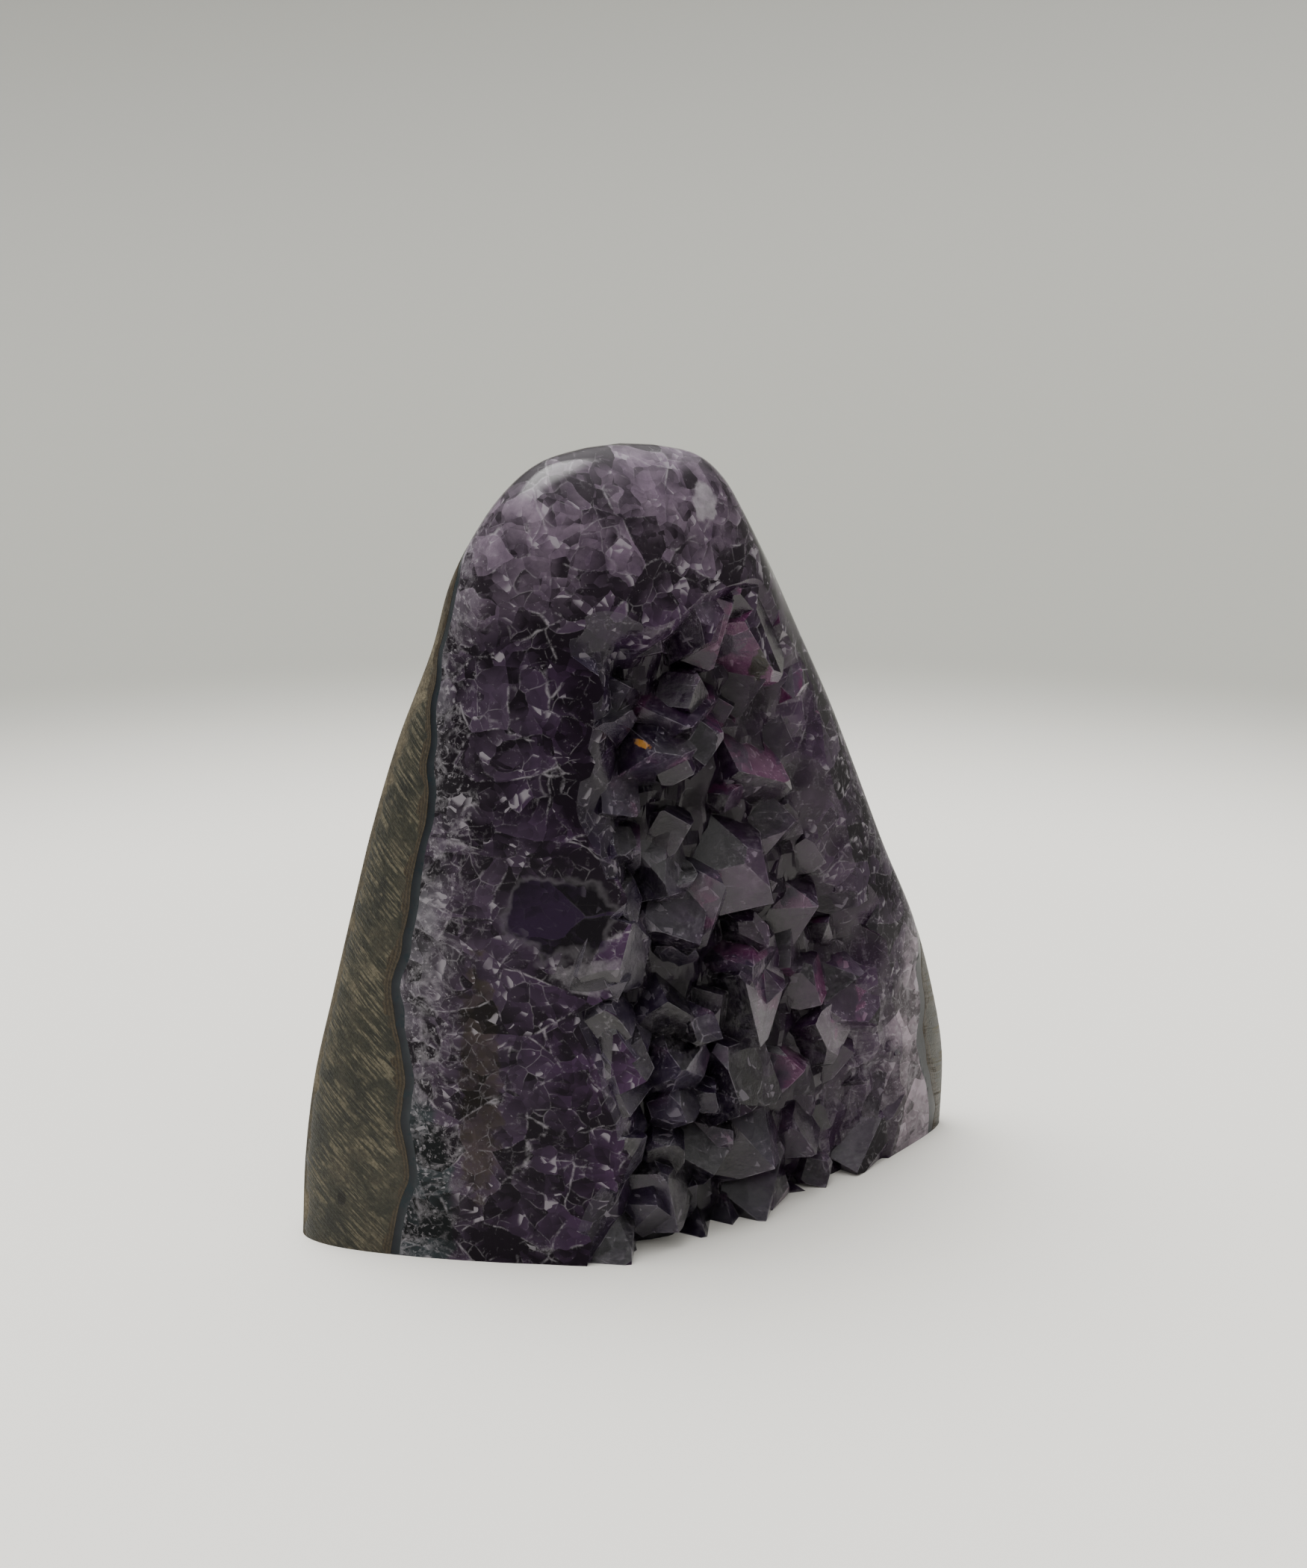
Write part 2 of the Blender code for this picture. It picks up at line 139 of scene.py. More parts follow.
# The contact between basalt and crystals, where the agate lies.
CONTACT_Y = -0.2
CONTACT_TURN = 0.022
SWELL_HEIGHT = 1.1
SWELL_LENGTH = 45.0
SWELL_CREST = 40.0
LOBE_HEIGHT = 0.9
LOBE_RISE = 9.0
LOBE_RUN = 22.0
CRINKLE_HEIGHT = 0.8
CRINKLE_SIZE = 4.6
CRINKLE_SLICE = 7.0
RIGHT_SET_BACK = 3.6
RIGHT_START = 5.0
RIGHT_FULL = 36.0
RIGHT_LOW = 24.0
RIGHT_HIGH = 48.0
HEAD_LEVEL = 95.0
HEAD_LEAN = 0.55
SPACE_REACH_X = 60.0
SPACE_REACH_Y = 40.0
SPACE_FLOOR = -4.0
SPACE_TOP = 116.0

# The natural crystal face.
DRUSE_LEFT = -24.0
DRUSE_TOP = 93.0
DRUSE_RIGHT_AT_TOP = 15.0
DRUSE_RIGHT_AT_FOOT = 42.5
DRUSE_RIGHT_LEVEL = 28.0
DRUSE_EDGE = 11.0
RAGGED_REACH = 5.0
RAGGED_SIZE = 13.0
SIDEWAYS_SLICE = 70.0
UPWARDS_SLICE = 140.0
LEAST_DRUSE = 0.02
BED_SHARE = 0.5
BED_NATURAL = 0.4
BED_BUMP_HEIGHT = 1.6
BED_BUMP_SIZE = 3.4
BED_SUNK = 1.0
BODY_ALLOWANCE = 0.6

# Edges of a mesh that are sharper than this stay crisp, and flatter ones are shaded smooth.
CRISP_STONE = math.radians(35.0)
CRISP_CRYSTAL = math.radians(14.0)
AGATE_INSET = 0.03

# Sizes of the cracked plates inside the quartz, in mm.
COARSE_PLATE = 6.5
MIDDLE_PLATE = 2.9
FINE_PLATE = 1.2

# Healed cracks, the width of the whitened crystal edges (fine chipping with a painted highlight)
# and the wandering of the grains, in mm.
THREAD_SIZE = 3.2
CHIPPED_AND_LIT_EDGE = 0.28
QUARTZ_WAVES = ((7.0, 3.4), (1.8, 0.5))
GRAIN_STRETCH = (0.8, 0.6, 1.0)

# Noises in the quartz: size of their features in mm, detail and roughness. Those that
# follow the grains are named below them.
QUARTZ_NOISES = {
    "flicker": (2.2, 4.0, 0.7), "broken": (3.6, 5.0, 0.75), "flecks": (0.7, 4.0, 0.7),
    "specks": (0.55, 4.0, 0.75), "frosty": (4.0, 3.0, 0.65), "clouds": (8.0, 3.0, 0.6),
}
GRAIN_NOISES = ("flecks", "clouds")

# Single marks: the middle and the half sizes of the ellipsoid that each one fills, in mm,
# and how ragged its edge is.
# A small pit on the basalt is painted near-black, with no hollow in the mesh: painted shade.
BASALT_PIT_SHADE = ((-49.1, 5.5, 7.5), (0.8, 0.8, 1.2), 0.3)
QUARTZ_MARKS = {
    "dark_cell": ((-24.4, -14.5, 50.4), (8.5, 7.5, 6.8), 0.55),
    "healed_veil": ((-18.5, -15.5, 42.0), (7.5, 6.0, 3.2), 0.6),
    "dome_shard": ((-0.5, -11.3, 104.1), (2.6, 3.0, 3.2), 0.5),
    "iron_stain": ((-33.9, -8.2, 26.0), (3.0, 4.0, 19.0), 0.6),
    "massive_foot": ((-41.0, -3.0, 9.0), (5.5, 5.0, 16.0), 0.4),
    "pale_rim": ((47.0, -2.0, 10.0), (13.0, 12.0, 30.0), 0.3),
    "ochre_stain": ((8.5, -11.0, 81.5), (1.3, 6.0, 3.6), 0.5),
    "gold_speck": ((-12.6, -17.0, 73.0), (0.7, 4.0, 0.7), 0.3),
}

# Quartz habit: the tip faces stand 51.8 degrees off the crystal's axis.
TIP_FACE_ANGLE = math.radians(51.8)
ROOT_LENGTH = 12.0
LESSER_FACE_SETBACK = (0.15, 0.55)
TIP_OFF_CENTRE = 0.18
FLATTENING = (0.78, 1.0)
HABITS = 12
HABIT_LENGTH = 3.2

# Tip x, tip z, depth of the tip below the polished form, radius, lean to the right, lean
# upwards (degrees), turn about its own axis (degrees).
LEADING_CRYSTALS = (
    (-13.2, 71.6, 0.1, 9.4, -20.0, 8.0, 12.0),
    (-5.8, 68.2, 0.8, 3.4, 8.0, -14.0, 20.0),
    (9.1, 46.6, 0.2, 7.8, 36.0, -42.0, 26.0),
    (-5.0, 60.5, 2.2, 4.2, 16.0, 14.0, 40.0),
    (-8.5, 85.0, 3.2, 6.6, 12.0, -20.0, 0.0),
    (4.5, 74.5, 3.4, 7.1, 22.0, 16.0, 35.0),
    (-17.2, 58.6, 1.0, 4.2, -14.0, 4.0, 15.0),
    (-10.5, 51.0, 1.4, 7.3, -6.0, -16.0, 8.0),
    (-9.0, 36.5, 1.4, 6.6, -8.0, 26.0, 0.0),
    (-8.6, 27.5, 0.8, 6.6, -14.0, 10.0, 30.0),
    (-7.6, 19.5, 0.4, 4.2, -6.0, -6.0, 10.0),
    (-15.4, 21.6, 0.4, 5.9, 6.0, -26.0, 25.0),
    (15.5, 20.0, 0.4, 9.0, 20.0, 10.0, 22.0),
    (8.0, 8.0, 0.2, 8.3, 12.0, -18.0, 8.0),
    (19.5, 7.0, 0.6, 6.1, 22.0, -20.0, 34.0),
    (-8.6, 2.6, 0.4, 7.6, 4.0, -34.0, 14.0),
    (0.9, 35.0, 3.4, 5.4, 10.0, 34.0, 44.0),
    (2.0, 89.5, 0.0, 7.3, 16.0, 20.0, 50.0),
    (10.2, 33.7, 1.0, 7.3, 18.0, 4.0, 20.0),
    (19.8, 43.7, 0.6, 8.5, 26.0, 8.0, 48.0),
    (13.0, 57.5, 0.8, 9.0, 22.0, 14.0, 16.0),
    (11.6, 80.0, 0.8, 8.3, 24.0, 12.0, 30.0),
    (16.0, 68.0, 0.6, 8.3, 26.0, -8.0, 6.0),
    (27.8, 19.5, 0.4, 7.3, 26.0, 4.0, 40.0),
    (28.8, 31.0, 0.4, 6.8, 28.0, 6.0, 10.0),
    (24.5, 55.5, 0.4, 6.4, 30.0, 4.0, 24.0),
    (-19.2, 76.5, 0.3, 5.6, -24.0, 12.0, 30.0),
    (-19.4, 65.0, 0.4, 6.0, -26.0, -8.0, 5.0),
)

LEADING_ROOM = 0.7
WIDE_ROOM = 1.2
TIER_INPUTS = ("spacing", "least radius", "most radius", "least setback", "most setback")
LARGE_SETBACK = (-0.6, 2.4)
SMALL_SETBACK = (1.2, 4.2)
EDGE_OVERSHOOT = 2.5
CRYSTAL_TURN = math.radians(6.0)
POINTS_PER_SQUARE_METRE = 4.0e5
SAME_FACET = math.radians(1.5)
SMALL_SEED_STEP = 40
RADIUS_SEED_STEP = 7
LAST_PICK = 999


def smooth_step(value, low, high):
    """0 below low, 1 above high and an even ease between."""
    share = min(max((value - low) / (high - low), 0.0), 1.0)
    return share * share * (3.0 - 2.0 * share)


def spline(before, start, end, after, share):
    """Catmull-Rom value between start and end."""
    return 0.5 * (
        2.0 * start
        + (end - before) * share
        + (2.0 * before - 5.0 * start + 4.0 * end - after) * share ** 2
        + (3.0 * start - before - 3.0 * end + after) * share ** 3
    )


def plan_points(count):
    """The base outline and the matching oval, both for a half width and depth of 1."""
    corners = len(BASE_OUTLINE)
    outline = []
    for step in range(count):
        place = step * corners / count
        index = int(place)
        near = [BASE_OUTLINE[(index + shift) % corners] for shift in (-1, 0, 1, 2)]
        x = spline(*(point[0] for point in near), place - index) / BASE_HALF_WIDTH
        y = spline(*(point[1] for point in near), place - index) / BASE_HALF_DEPTH
        angle = math.atan2(y, x)
        reach = abs(math.cos(angle)) ** OVAL_POWER + abs(math.sin(angle)) ** OVAL_POWER
        radius = reach ** (-1.0 / OVAL_POWER)
        outline.append((x, y, radius * math.cos(angle), radius * math.sin(angle)))
    return outline


def section_at(place):
    """The six section values at a place counted in rows of SECTIONS."""
    last = len(SECTIONS) - 1
    index = min(int(place), last - 1)
    rows = [SECTIONS[min(max(index + shift, 0), last)] for shift in (-1, 0, 1, 2)]
    return [spline(*(row[k] for row in rows), place - index) for k in range(6)]


def ring_at(place, plan):
    """Points of the polished form on one level, in millimetres."""
    height, half_width, half_depth, middle_x, middle_y, oval = section_at(place)
    ring = []
    for base_x, base_y, oval_x, oval_y in plan:
        x = middle_x + half_width * (base_x + (oval_x - base_x) * oval)
        y = middle_y + half_depth * (base_y + (oval_y - base_y) * oval)
        ring.append(Vector((x, y, height)))
    return ring


def place_of_height(height):
    """Where a height lies, counted in rows of SECTIONS."""
    for index in range(len(SECTIONS) - 1):
        low, high = SECTIONS[index][0], SECTIONS[index + 1][0]
        if height <= high:
            return index + (height - low) / (high - low)
    return len(SECTIONS) - 1.0


def front_y(x, height, plan):
    """Depth of the polished form's front face at x and height, in millimetres."""
    ring = ring_at(place_of_height(height), plan)
    best = None
    for start, end in zip(ring, ring[1:] + ring[:1]):
        if end.x > start.x and start.x <= x <= end.x:
            share = (x - start.x) / (end.x - start.x)
            y = start.y + (end.y - start.y) * share
            best = y if best is None else min(best, y)
    return best


def contact_y(x, z):
    """Depth of the middle of the agate band: a gentle swell with rounded lobes on it."""
    swell = SWELL_HEIGHT * math.cos(math.tau * (z - SWELL_CREST) / SWELL_LENGTH)
    lobes = LOBE_HEIGHT * noise.noise(Vector((x / LOBE_RUN, 0.0, z / LOBE_RISE)))
    lobes += CRINKLE_HEIGHT * noise.noise(Vector((x, CRINKLE_SLICE, z)) / CRINKLE_SIZE)
    lean = HEAD_LEAN * max(0.0, z - HEAD_LEVEL)
    right = RIGHT_SET_BACK * smooth_step(x, RIGHT_START, RIGHT_FULL)
    right *= smooth_step(z, RIGHT_LOW, RIGHT_HIGH)
    return CONTACT_Y + CONTACT_TURN * x + swell + lobes + lean + right


def druse_share(x, z):
    """1 inside the natural crystal face, 0 on the polish, with an eased, ragged edge."""
    sideways = RAGGED_REACH * noise.noise(Vector((x, SIDEWAYS_SLICE, z)) / RAGGED_SIZE)
    upwards = RAGGED_REACH * noise.noise(Vector((x, UPWARDS_SLICE, z)) / RAGGED_SIZE)
    x += sideways
    z += upwards
    rise = min(max((z - DRUSE_RIGHT_LEVEL) / (DRUSE_TOP - DRUSE_RIGHT_LEVEL), 0.0), 1.0)
    right = DRUSE_RIGHT_AT_FOOT + (DRUSE_RIGHT_AT_TOP - DRUSE_RIGHT_AT_FOOT) * rise
    return (
        smooth_step(x, DRUSE_LEFT, DRUSE_LEFT + DRUSE_EDGE)
        * smooth_step(-x, -right, -right + DRUSE_EDGE)
        * smooth_step(-z, -DRUSE_TOP, -DRUSE_TOP + DRUSE_EDGE)
    )


def bed_depth(point, deepest):
    """How far the crystal bed lies below the polished form at a point of its front."""
    crust = contact_y(point.x, point.z) - point.y
    return min(deepest, BED_SHARE * max(crust, 0.0)) * druse_share(point.x, point.z)


def eased_cell(place):
    """Cell noise with a ramp in place of the step between two cells."""
    low = Vector([math.floor(value) for value in place])
    over = [smooth_step(value, 1.0 - CHIP_RAMP, 1.0) for value in place - low]
    total = 0.0
    for corner in range(8):
        step = Vector((corner & 1, corner >> 1 & 1, corner >> 2))
        share = math.prod(part if up else 1.0 - part for part, up in zip(over, step))
        if share:
            total += share * noise.cell(low + step + Vector((0.5, 0.5, 0.5)))
    return total


def hewn_chip(point, outward):
    """Inward depth of a chip on the back, flat-floored and only where the face looks back."""
    cell = eased_cell(Vector((point.x, point.y + CHIP_SLICE, point.z)) / CHIP_SIZE)
    swell = noise.noise(Vector((point.x, SWELL_SLICE, point.z)) / CHIP_SIZE)
    rough = max(0.0, CHIP_LEVEL + CHIP_SWING * (cell + swell))
    # The crown is too narrow for a chip, which would fold its back over its front.
    below_crown = smooth_step(-point.z, -CHIP_TOP, -CHIP_TOP + CHIP_TOP_EASE)
    facing_back = smooth_step(outward.y, CHIP_FADES, CHIP_FULL)
    return CHIP_DEPTH * rough * facing_back * below_crown


def outward_at(ring, index):
    """Level direction that points out of the ring at one of its points."""
    along = ring[(index + 1) % len(ring)] - ring[index - 1]
    return Vector((along.y, -along.x, 0.0)).normalized()


# ------------------------------------------------------------------------- mesh helpers


def linked(name, data):
    """A new object in the scene for a mesh or a camera."""
    thing = bpy.data.objects.new(name, data)
    bpy.context.scene.collection.objects.link(thing)
    return thing


def mesh_object(name, bm, unit=MM):
    """Turn a mesh drawn in some unit of length, in metres, into an object."""
    bmesh.ops.scale(bm, vec=(unit, unit, unit), verts=bm.verts)
    mesh = bpy.data.meshes.new(name)
    bm.to_mesh(mesh)
    bm.free()
    return linked(name, mesh)


def stone_form(name, around, per_section, shift, sunk=0.0):
    """Loft the form through its levels; shift(point, outward) moves each point outwards."""
    plan = plan_points(around)
    bm = bmesh.new()
    rings = []
    steps = (len(SECTIONS) - 1) * per_section
    for step in range(steps + 1):
        ring = ring_at(step / per_section, plan)
        moved = []
        for index, point in enumerate(ring):
            outward = outward_at(ring, index)
            moved.append(point + outward * shift(point, outward))
        if step == 0:
            moved = [point - Vector((0.0, 0.0, sunk)) for point in moved]
        rings.append([bm.verts.new(point) for point in moved])
    for lower, upper in zip(rings, rings[1:]):
        for index in range(around):
            after = (index + 1) % around
            bm.faces.new((lower[index], lower[after], upper[after], upper[index]))
    crown = bm.verts.new((SECTIONS[-1][3], SECTIONS[-1][4], CROWN_HEIGHT))
    for index in range(around):
        bm.faces.new((rings[-1][index], rings[-1][(index + 1) % around], crown))
    bm.faces.new(list(reversed(rings[0])))
    bmesh.ops.triangulate(bm, faces=bm.faces)
    return mesh_object(name, bm)


def contact_space(name, step, near, far):
    """A closed block between two sheets that follow the contact; None is a flat far side."""
    columns = round(2.0 * SPACE_REACH_X / step)
    rows = round((SPACE_TOP - SPACE_FLOOR) / step)
    bm = bmesh.new()
    bmesh.ops.create_grid(bm, x_segments=columns, y_segments=rows, size=1.0)
    front = list(bm.verts)
    copy = bmesh.ops.duplicate(bm, geom=bm.verts[:] + bm.edges[:] + bm.faces[:])
    back = [item for item in copy["geom"] if isinstance(item, bmesh.types.BMVert)]
    bmesh.ops.reverse_faces(
        bm, faces=[item for item in copy["geom"] if isinstance(item, bmesh.types.BMFace)]
    )
    for verts, offset, flat in ((front, near, -SPACE_REACH_Y), (back, far, SPACE_REACH_Y)):
        for vert in verts:
            x = vert.co.x * SPACE_REACH_X
            z = SPACE_FLOOR + (vert.co.y + 1.0) / 2.0 * (SPACE_TOP - SPACE_FLOOR)
            y = flat if offset is None else contact_y(x, z) + offset
            vert.co = (x, y, z)
    bmesh.ops.bridge_loops(bm, edges=[edge for edge in bm.edges if edge.is_boundary])
    bmesh.ops.triangulate(bm, faces=bm.faces)
    bmesh.ops.recalc_face_normals(bm, faces=bm.faces)
    return mesh_object(name, bm)


def cut_to(thing, space):
    """Keep only what lies inside the space."""
    modifier = thing.modifiers.new("Cut", "BOOLEAN")
    modifier.operation = "INTERSECT"
    modifier.solver = "MANIFOLD"
    modifier.object = space


def baked(thing, name):
    """The evaluated mesh of a thing as a plain object of its own."""
    graph = bpy.context.evaluated_depsgraph_get()
    mesh = bpy.data.meshes.new_from_object(thing.evaluated_get(graph))
    mesh.name = name
    return linked(name, mesh)


def stone_slice(form, name, inset, near, far):
    """The stone between two sheets along the contact, with its surface set in a little."""
    shell = stone_form("shell", form.around, form.per_section,
                       lambda point, out: -hewn_chip(point, out) - inset)
    space = contact_space("space", form.contact_step / MM, near, far)
    cut_to(shell, space)
    piece = baked(shell, name)
    discard(shell, space)
    cleaned(piece, CRISP_STONE)
    return piece


def discard(*things):
    """Remove helper objects with their meshes."""
    for thing in things:
        mesh = thing.data
        bpy.data.objects.remove(thing, do_unlink=True)
        if mesh is not None and mesh.users == 0:
            bpy.data.meshes.remove(mesh)


def cleaned(piece, sharp_angle):
    """Drop loose crumbs, shade smooth and keep edges past the angle crisp."""
    bm = bmesh.new()
    bm.from_mesh(piece.data)
    bmesh.ops.triangulate(bm, faces=bm.faces)
    waiting = set(bm.verts)
    bodies = []
    while waiting:
        edge_of_body = [waiting.pop()]
        body = set(edge_of_body)
        while edge_of_body:
            for edge in edge_of_body.pop().link_edges:
                for vert in edge.verts:
                    if vert in waiting:
                        waiting.discard(vert)
                        body.add(vert)
                        edge_of_body.append(vert)
        bodies.append(body)
    main_body = max(bodies, key=len)
    crumbs = [vert for vert in bm.verts if vert not in main_body]
    bmesh.ops.delete(bm, geom=crumbs, context="VERTS")
    bm.to_mesh(piece.data)
    bm.free()
    piece.data.shade_smooth()
    piece.data.set_sharp_from_angle(angle=sharp_angle)


def store(piece, name, measure):
    """Store on each point what measure(x, y, z) says of it, in millimetres."""
    layer = piece.data.attributes.new(name, "FLOAT", "POINT")
    for vert, item in zip(piece.data.vertices, layer.data):
        item.value = measure(*(vert.co / MM))


def growth_at(x, y, z):
    """How far a place lies in front of the contact."""
    return contact_y(x, z) - y


def sunk_at(x, y, z, plan):
    """How far a place lies below the polished form."""
    front = front_y(x, z, plan)
    return 0.0 if front is None else max(0.0, y - front)


def settle(piece, material, slot, *nodes):
    """Give a finished piece its material and tie it to the frame."""
    piece.data.materials.clear()
    piece.data.materials.append(material)
    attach(piece, BODY)
    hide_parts(*nodes)


# --------------------------------------------------------------------------- node helpers


def linear(code):
    """An sRGB hex colour as linear red, green and blue."""
    parts = [int(code[place:place + 2], 16) / 255.0 for place in (1, 3, 5)]
    return tuple(
        part / 12.92 if part <= 0.04045 else ((part + 0.055) / 1.055) ** 2.4 for part in parts
    )


def add(tree, kind, inputs=None, stops=(), **settings):
    """Add a node, set its properties and fill or link its inputs.

    An input is named or numbered; its value is a constant, a node (its first output) or a
    pair of a node and an output's name. Stops are a colour ramp's places and colours.
    """
    node = tree.nodes.new(kind)
    for name, value in settings.items():
        setattr(node, name, value)
    for name, value in (inputs or {}).items():
        socket = node.inputs[name]
        if isinstance(value, bpy.types.Node):
            value = (value, 0)
        if isinstance(value, tuple) and isinstance(value[0], bpy.types.Node):
            tree.links.new(value[0].outputs[value[1]], socket)
        elif socket.type == "RGBA" and len(value) == 3:
            socket.default_value = (*value, 1.0)
        else:
            socket.default_value = value
    for number, (place, colour) in enumerate(stops):
        elements = node.color_ramp.elements
        element = elements[number] if number < len(elements) else elements.new(place)
        element.position = place
        element.color = (*colour, 1.0)
    return node


def empty_material(name):
    """A material without any nodes, and its tree."""
    material = bpy.data.materials.new(name)
    material.use_nodes = True
    material.node_tree.nodes.clear()
    return material, material.node_tree


def millimetres(tree):
    """The place on the piece in millimetres."""
    place = add(tree, "ShaderNodeTexCoord")
    return add(tree, "ShaderNodeVectorMath", {0: (place, "Object"), "Scale": 1.0 / MM},
               operation="SCALE")


def laid_over(tree, colour, *layers):
    """A colour with others laid over it in turn, each by its own share."""
    for share, code in layers:
        layer = add(tree, "ShaderNodeMix", {0: share, 6: colour, 7: linear(code)},
                    data_type="RGBA")
        colour = (layer, 2)
    return colour


def spot(tree, mm, middle, sizes, ragged):
    """1 inside an ellipsoid, 0 outside; its middle and its half sizes are in mm."""
    offset = add(tree, "ShaderNodeVectorMath", {0: mm, 1: middle}, operation="SUBTRACT")
    scaled = add(tree, "ShaderNodeVectorMath", {0: offset, 1: sizes}, operation="DIVIDE")
    reach = add(tree, "ShaderNodeVectorMath", {0: scaled}, operation="LENGTH")
    noisy = add(tree, "ShaderNodeTexNoise",
                {"Vector": mm, "Scale": 1.5 / min(sizes), "Detail": 3.0})
    edge = add(tree, "ShaderNodeMath",
               {0: noisy, 1: 2.0 * ragged, 2: (reach, "Value")}, operation="MULTIPLY_ADD")
    return add(tree, "ShaderNodeMapRange",
               {"Value": edge, "From Min": 1.0 + ragged, "From Max": 0.75 + ragged},
               interpolation_type="SMOOTHSTEP")


def set_inputs(modifier, values):
    """Fill a Geometry Nodes modifier's inputs by the names its tree gives them."""
    for item in modifier.node_group.interface.items_tree:
        if item.item_type == "SOCKET" and item.in_out == "INPUT" and item.name in values:
            modifier[item.identifier] = values[item.name]


# ------------------------------------------------------------------------------ settings


class AmethystFormSettings(bpy.types.PropertyGroup):
    """Fineness and fit of the three minerals."""

    around: bpy.props.IntProperty(
        name="Points round", description="Points round the polished form", default=220
    )
    per_section: bpy.props.IntProperty(
        name="Levels per section", description="Levels between two sections", default=7
    )
    contact_step: bpy.props.FloatProperty(
        name="Contact step", description="Spacing of the contact sheets' points",
        default=1.0 * MM, unit="LENGTH",
    )
    agate_thickness: bpy.props.FloatProperty(
        name="Agate thickness", description="Thickness of the agate band",
        default=1.3 * MM, unit="LENGTH",
    )
    lap: bpy.props.FloatProperty(
        name="Lap", description="How far one mineral reaches into the next, out of sight",
        default=0.12 * MM, unit="LENGTH",
    )
    hewn_roughness: bpy.props.FloatProperty(
        name="Hewn roughness", description="Height of the fine bumps on the hewn back",
        default=0.75 * MM, unit="LENGTH",
    )


class AmethystCrystalSettings(bpy.types.PropertyGroup):
    """Sizes of the crystals that grow on the bed."""

    bed_depth: bpy.props.FloatProperty(
        name="Bed depth", description="Greatest depth of the bed under the polished form",
        default=7.6 * MM, unit="LENGTH",
    )
    large_spacing: bpy.props.FloatProperty(
        name="Large spacing", description="Least distance between two large crystals",
        default=9.0 * MM, unit="LENGTH",
    )
    large_least: bpy.props.FloatProperty(
        name="Least large radius", description="Radius of the least of the large crystals",
        default=7.0 * MM, unit="LENGTH",
    )
    large_most: bpy.props.FloatProperty(
        name="Greatest large radius", description="Radius of the greatest crystals",
        default=10.0 * MM, unit="LENGTH",
    )
    small_spacing: bpy.props.FloatProperty(
        name="Small spacing", description="Least distance between two small crystals",
        default=7.6 * MM, unit="LENGTH",
    )
    small_least: bpy.props.FloatProperty(
        name="Least small radius", description="Radius of the least crystals",
        default=3.2 * MM, unit="LENGTH",
    )
    small_most: bpy.props.FloatProperty(
        name="Greatest small radius", description="Radius of the greatest small crystals",
        default=5.4 * MM, unit="LENGTH",
    )
    lean: bpy.props.FloatProperty(
        name="Lean", description="Greatest lean of a crystal's axis off the bed's direction",
        default=math.radians(32.0), subtype="ANGLE",
    )
    seed: bpy.props.IntProperty(
        name="Seed", description="Picks one arrangement of the crystals", default=23
    )


class AmethystLookSettings(bpy.types.PropertyGroup):
    """Colours of the minerals and of the stage."""

    basalt: bpy.props.FloatVectorProperty(
        name="Basalt", description="Ground of the basalt", subtype="COLOR",
        default=linear("#23231b"), min=0.0, max=1.0,
    )
    basalt_pale: bpy.props.FloatVectorProperty(
        name="Pale basalt", description="Saw marks and bruised grain", subtype="COLOR",
        default=linear("#615b4b"), min=0.0, max=1.0,
    )
    agate: bpy.props.FloatVectorProperty(
        name="Agate", description="Slate-blue agate", subtype="COLOR",
        default=linear("#1f2327"), min=0.0, max=1.0,
    )
    root_quartz: bpy.props.FloatVectorProperty(
        name="Root quartz", description="Grey quartz next to the agate", subtype="COLOR",
        default=linear("#4a484d"), min=0.0, max=1.0,
    )
    purple: bpy.props.FloatVectorProperty(
        name="Purple", description="Deep purple of the crystals", subtype="COLOR",
        default=linear("#2a1c2f"), min=0.0, max=1.0,
    )
    veil: bpy.props.FloatVectorProperty(
        name="Veil", description="Whitish grain edges and healed cracks", subtype="COLOR",
        default=linear("#9b979d"), min=0.0, max=1.0,
    )
    floor: bpy.props.FloatVectorProperty(
        name="Floor", description="Pale floor", subtype="COLOR",
        default=linear("#e4e2dc"), min=0.0, max=1.0,
    )
    # The far floor's colour is painted shade, for the light falling off behind the stone.
    far_floor_shade: bpy.props.FloatVectorProperty(
        name="Far floor", description="Floor far behind the stone", subtype="COLOR",
        default=linear("#8f8f89"), min=0.0, max=1.0,
    )


class AmethystStageSettings(bpy.types.PropertyGroup):
    """Place, aim and lens of the camera."""

    camera_place: bpy.props.FloatVectorProperty(
        name="Camera place", description="Where the camera stands", subtype="TRANSLATION",
        default=(-0.17052, -0.306, 0.150), unit="LENGTH",
    )
    camera_tilt: bpy.props.FloatProperty(
        name="Camera tilt", description="Angle of the view below level",
        default=math.radians(14.015), subtype="ANGLE",
    )
    camera_turn: bpy.props.FloatProperty(
        name="Camera turn", description="Turn of the view to the right of +Y",
        default=math.radians(28.803), subtype="ANGLE",
    )
    camera_lens: bpy.props.FloatProperty(
        name="Lens", description="Focal length on a 36 mm sensor, in millimetres",
        default=58.39, unit="CAMERA",
    )


# ------------------------------------------------------------------------------- basalt


def rough_hewn(piece, height):
    """Raise fine bumps on the faces that look back, and leave the polished edge smooth."""
    bm = bmesh.new()
    bm.from_mesh(piece.data)
    bm.normal_update()
    for vert in bm.verts:
        back = smooth_step(vert.normal.y, HEWN_FADES, HEWN_FULL)
        place = vert.co / MM
        grain = noise.fractal(place / HEWN_GRAIN, *HEWN_FRACTAL)
        ledge = noise.noise(place / HEWN_LEDGE) - abs(noise.noise(place / HEWN_PITS))
        rough = HEWN_LEVEL + HEWN_GRAIN_SHARE * grain + HEWN_LEDGE_SHARE * ledge
        vert.co -= vert.normal * height * back * max(0.0, rough)
    bm.to_mesh(piece.data)
    bm.free()


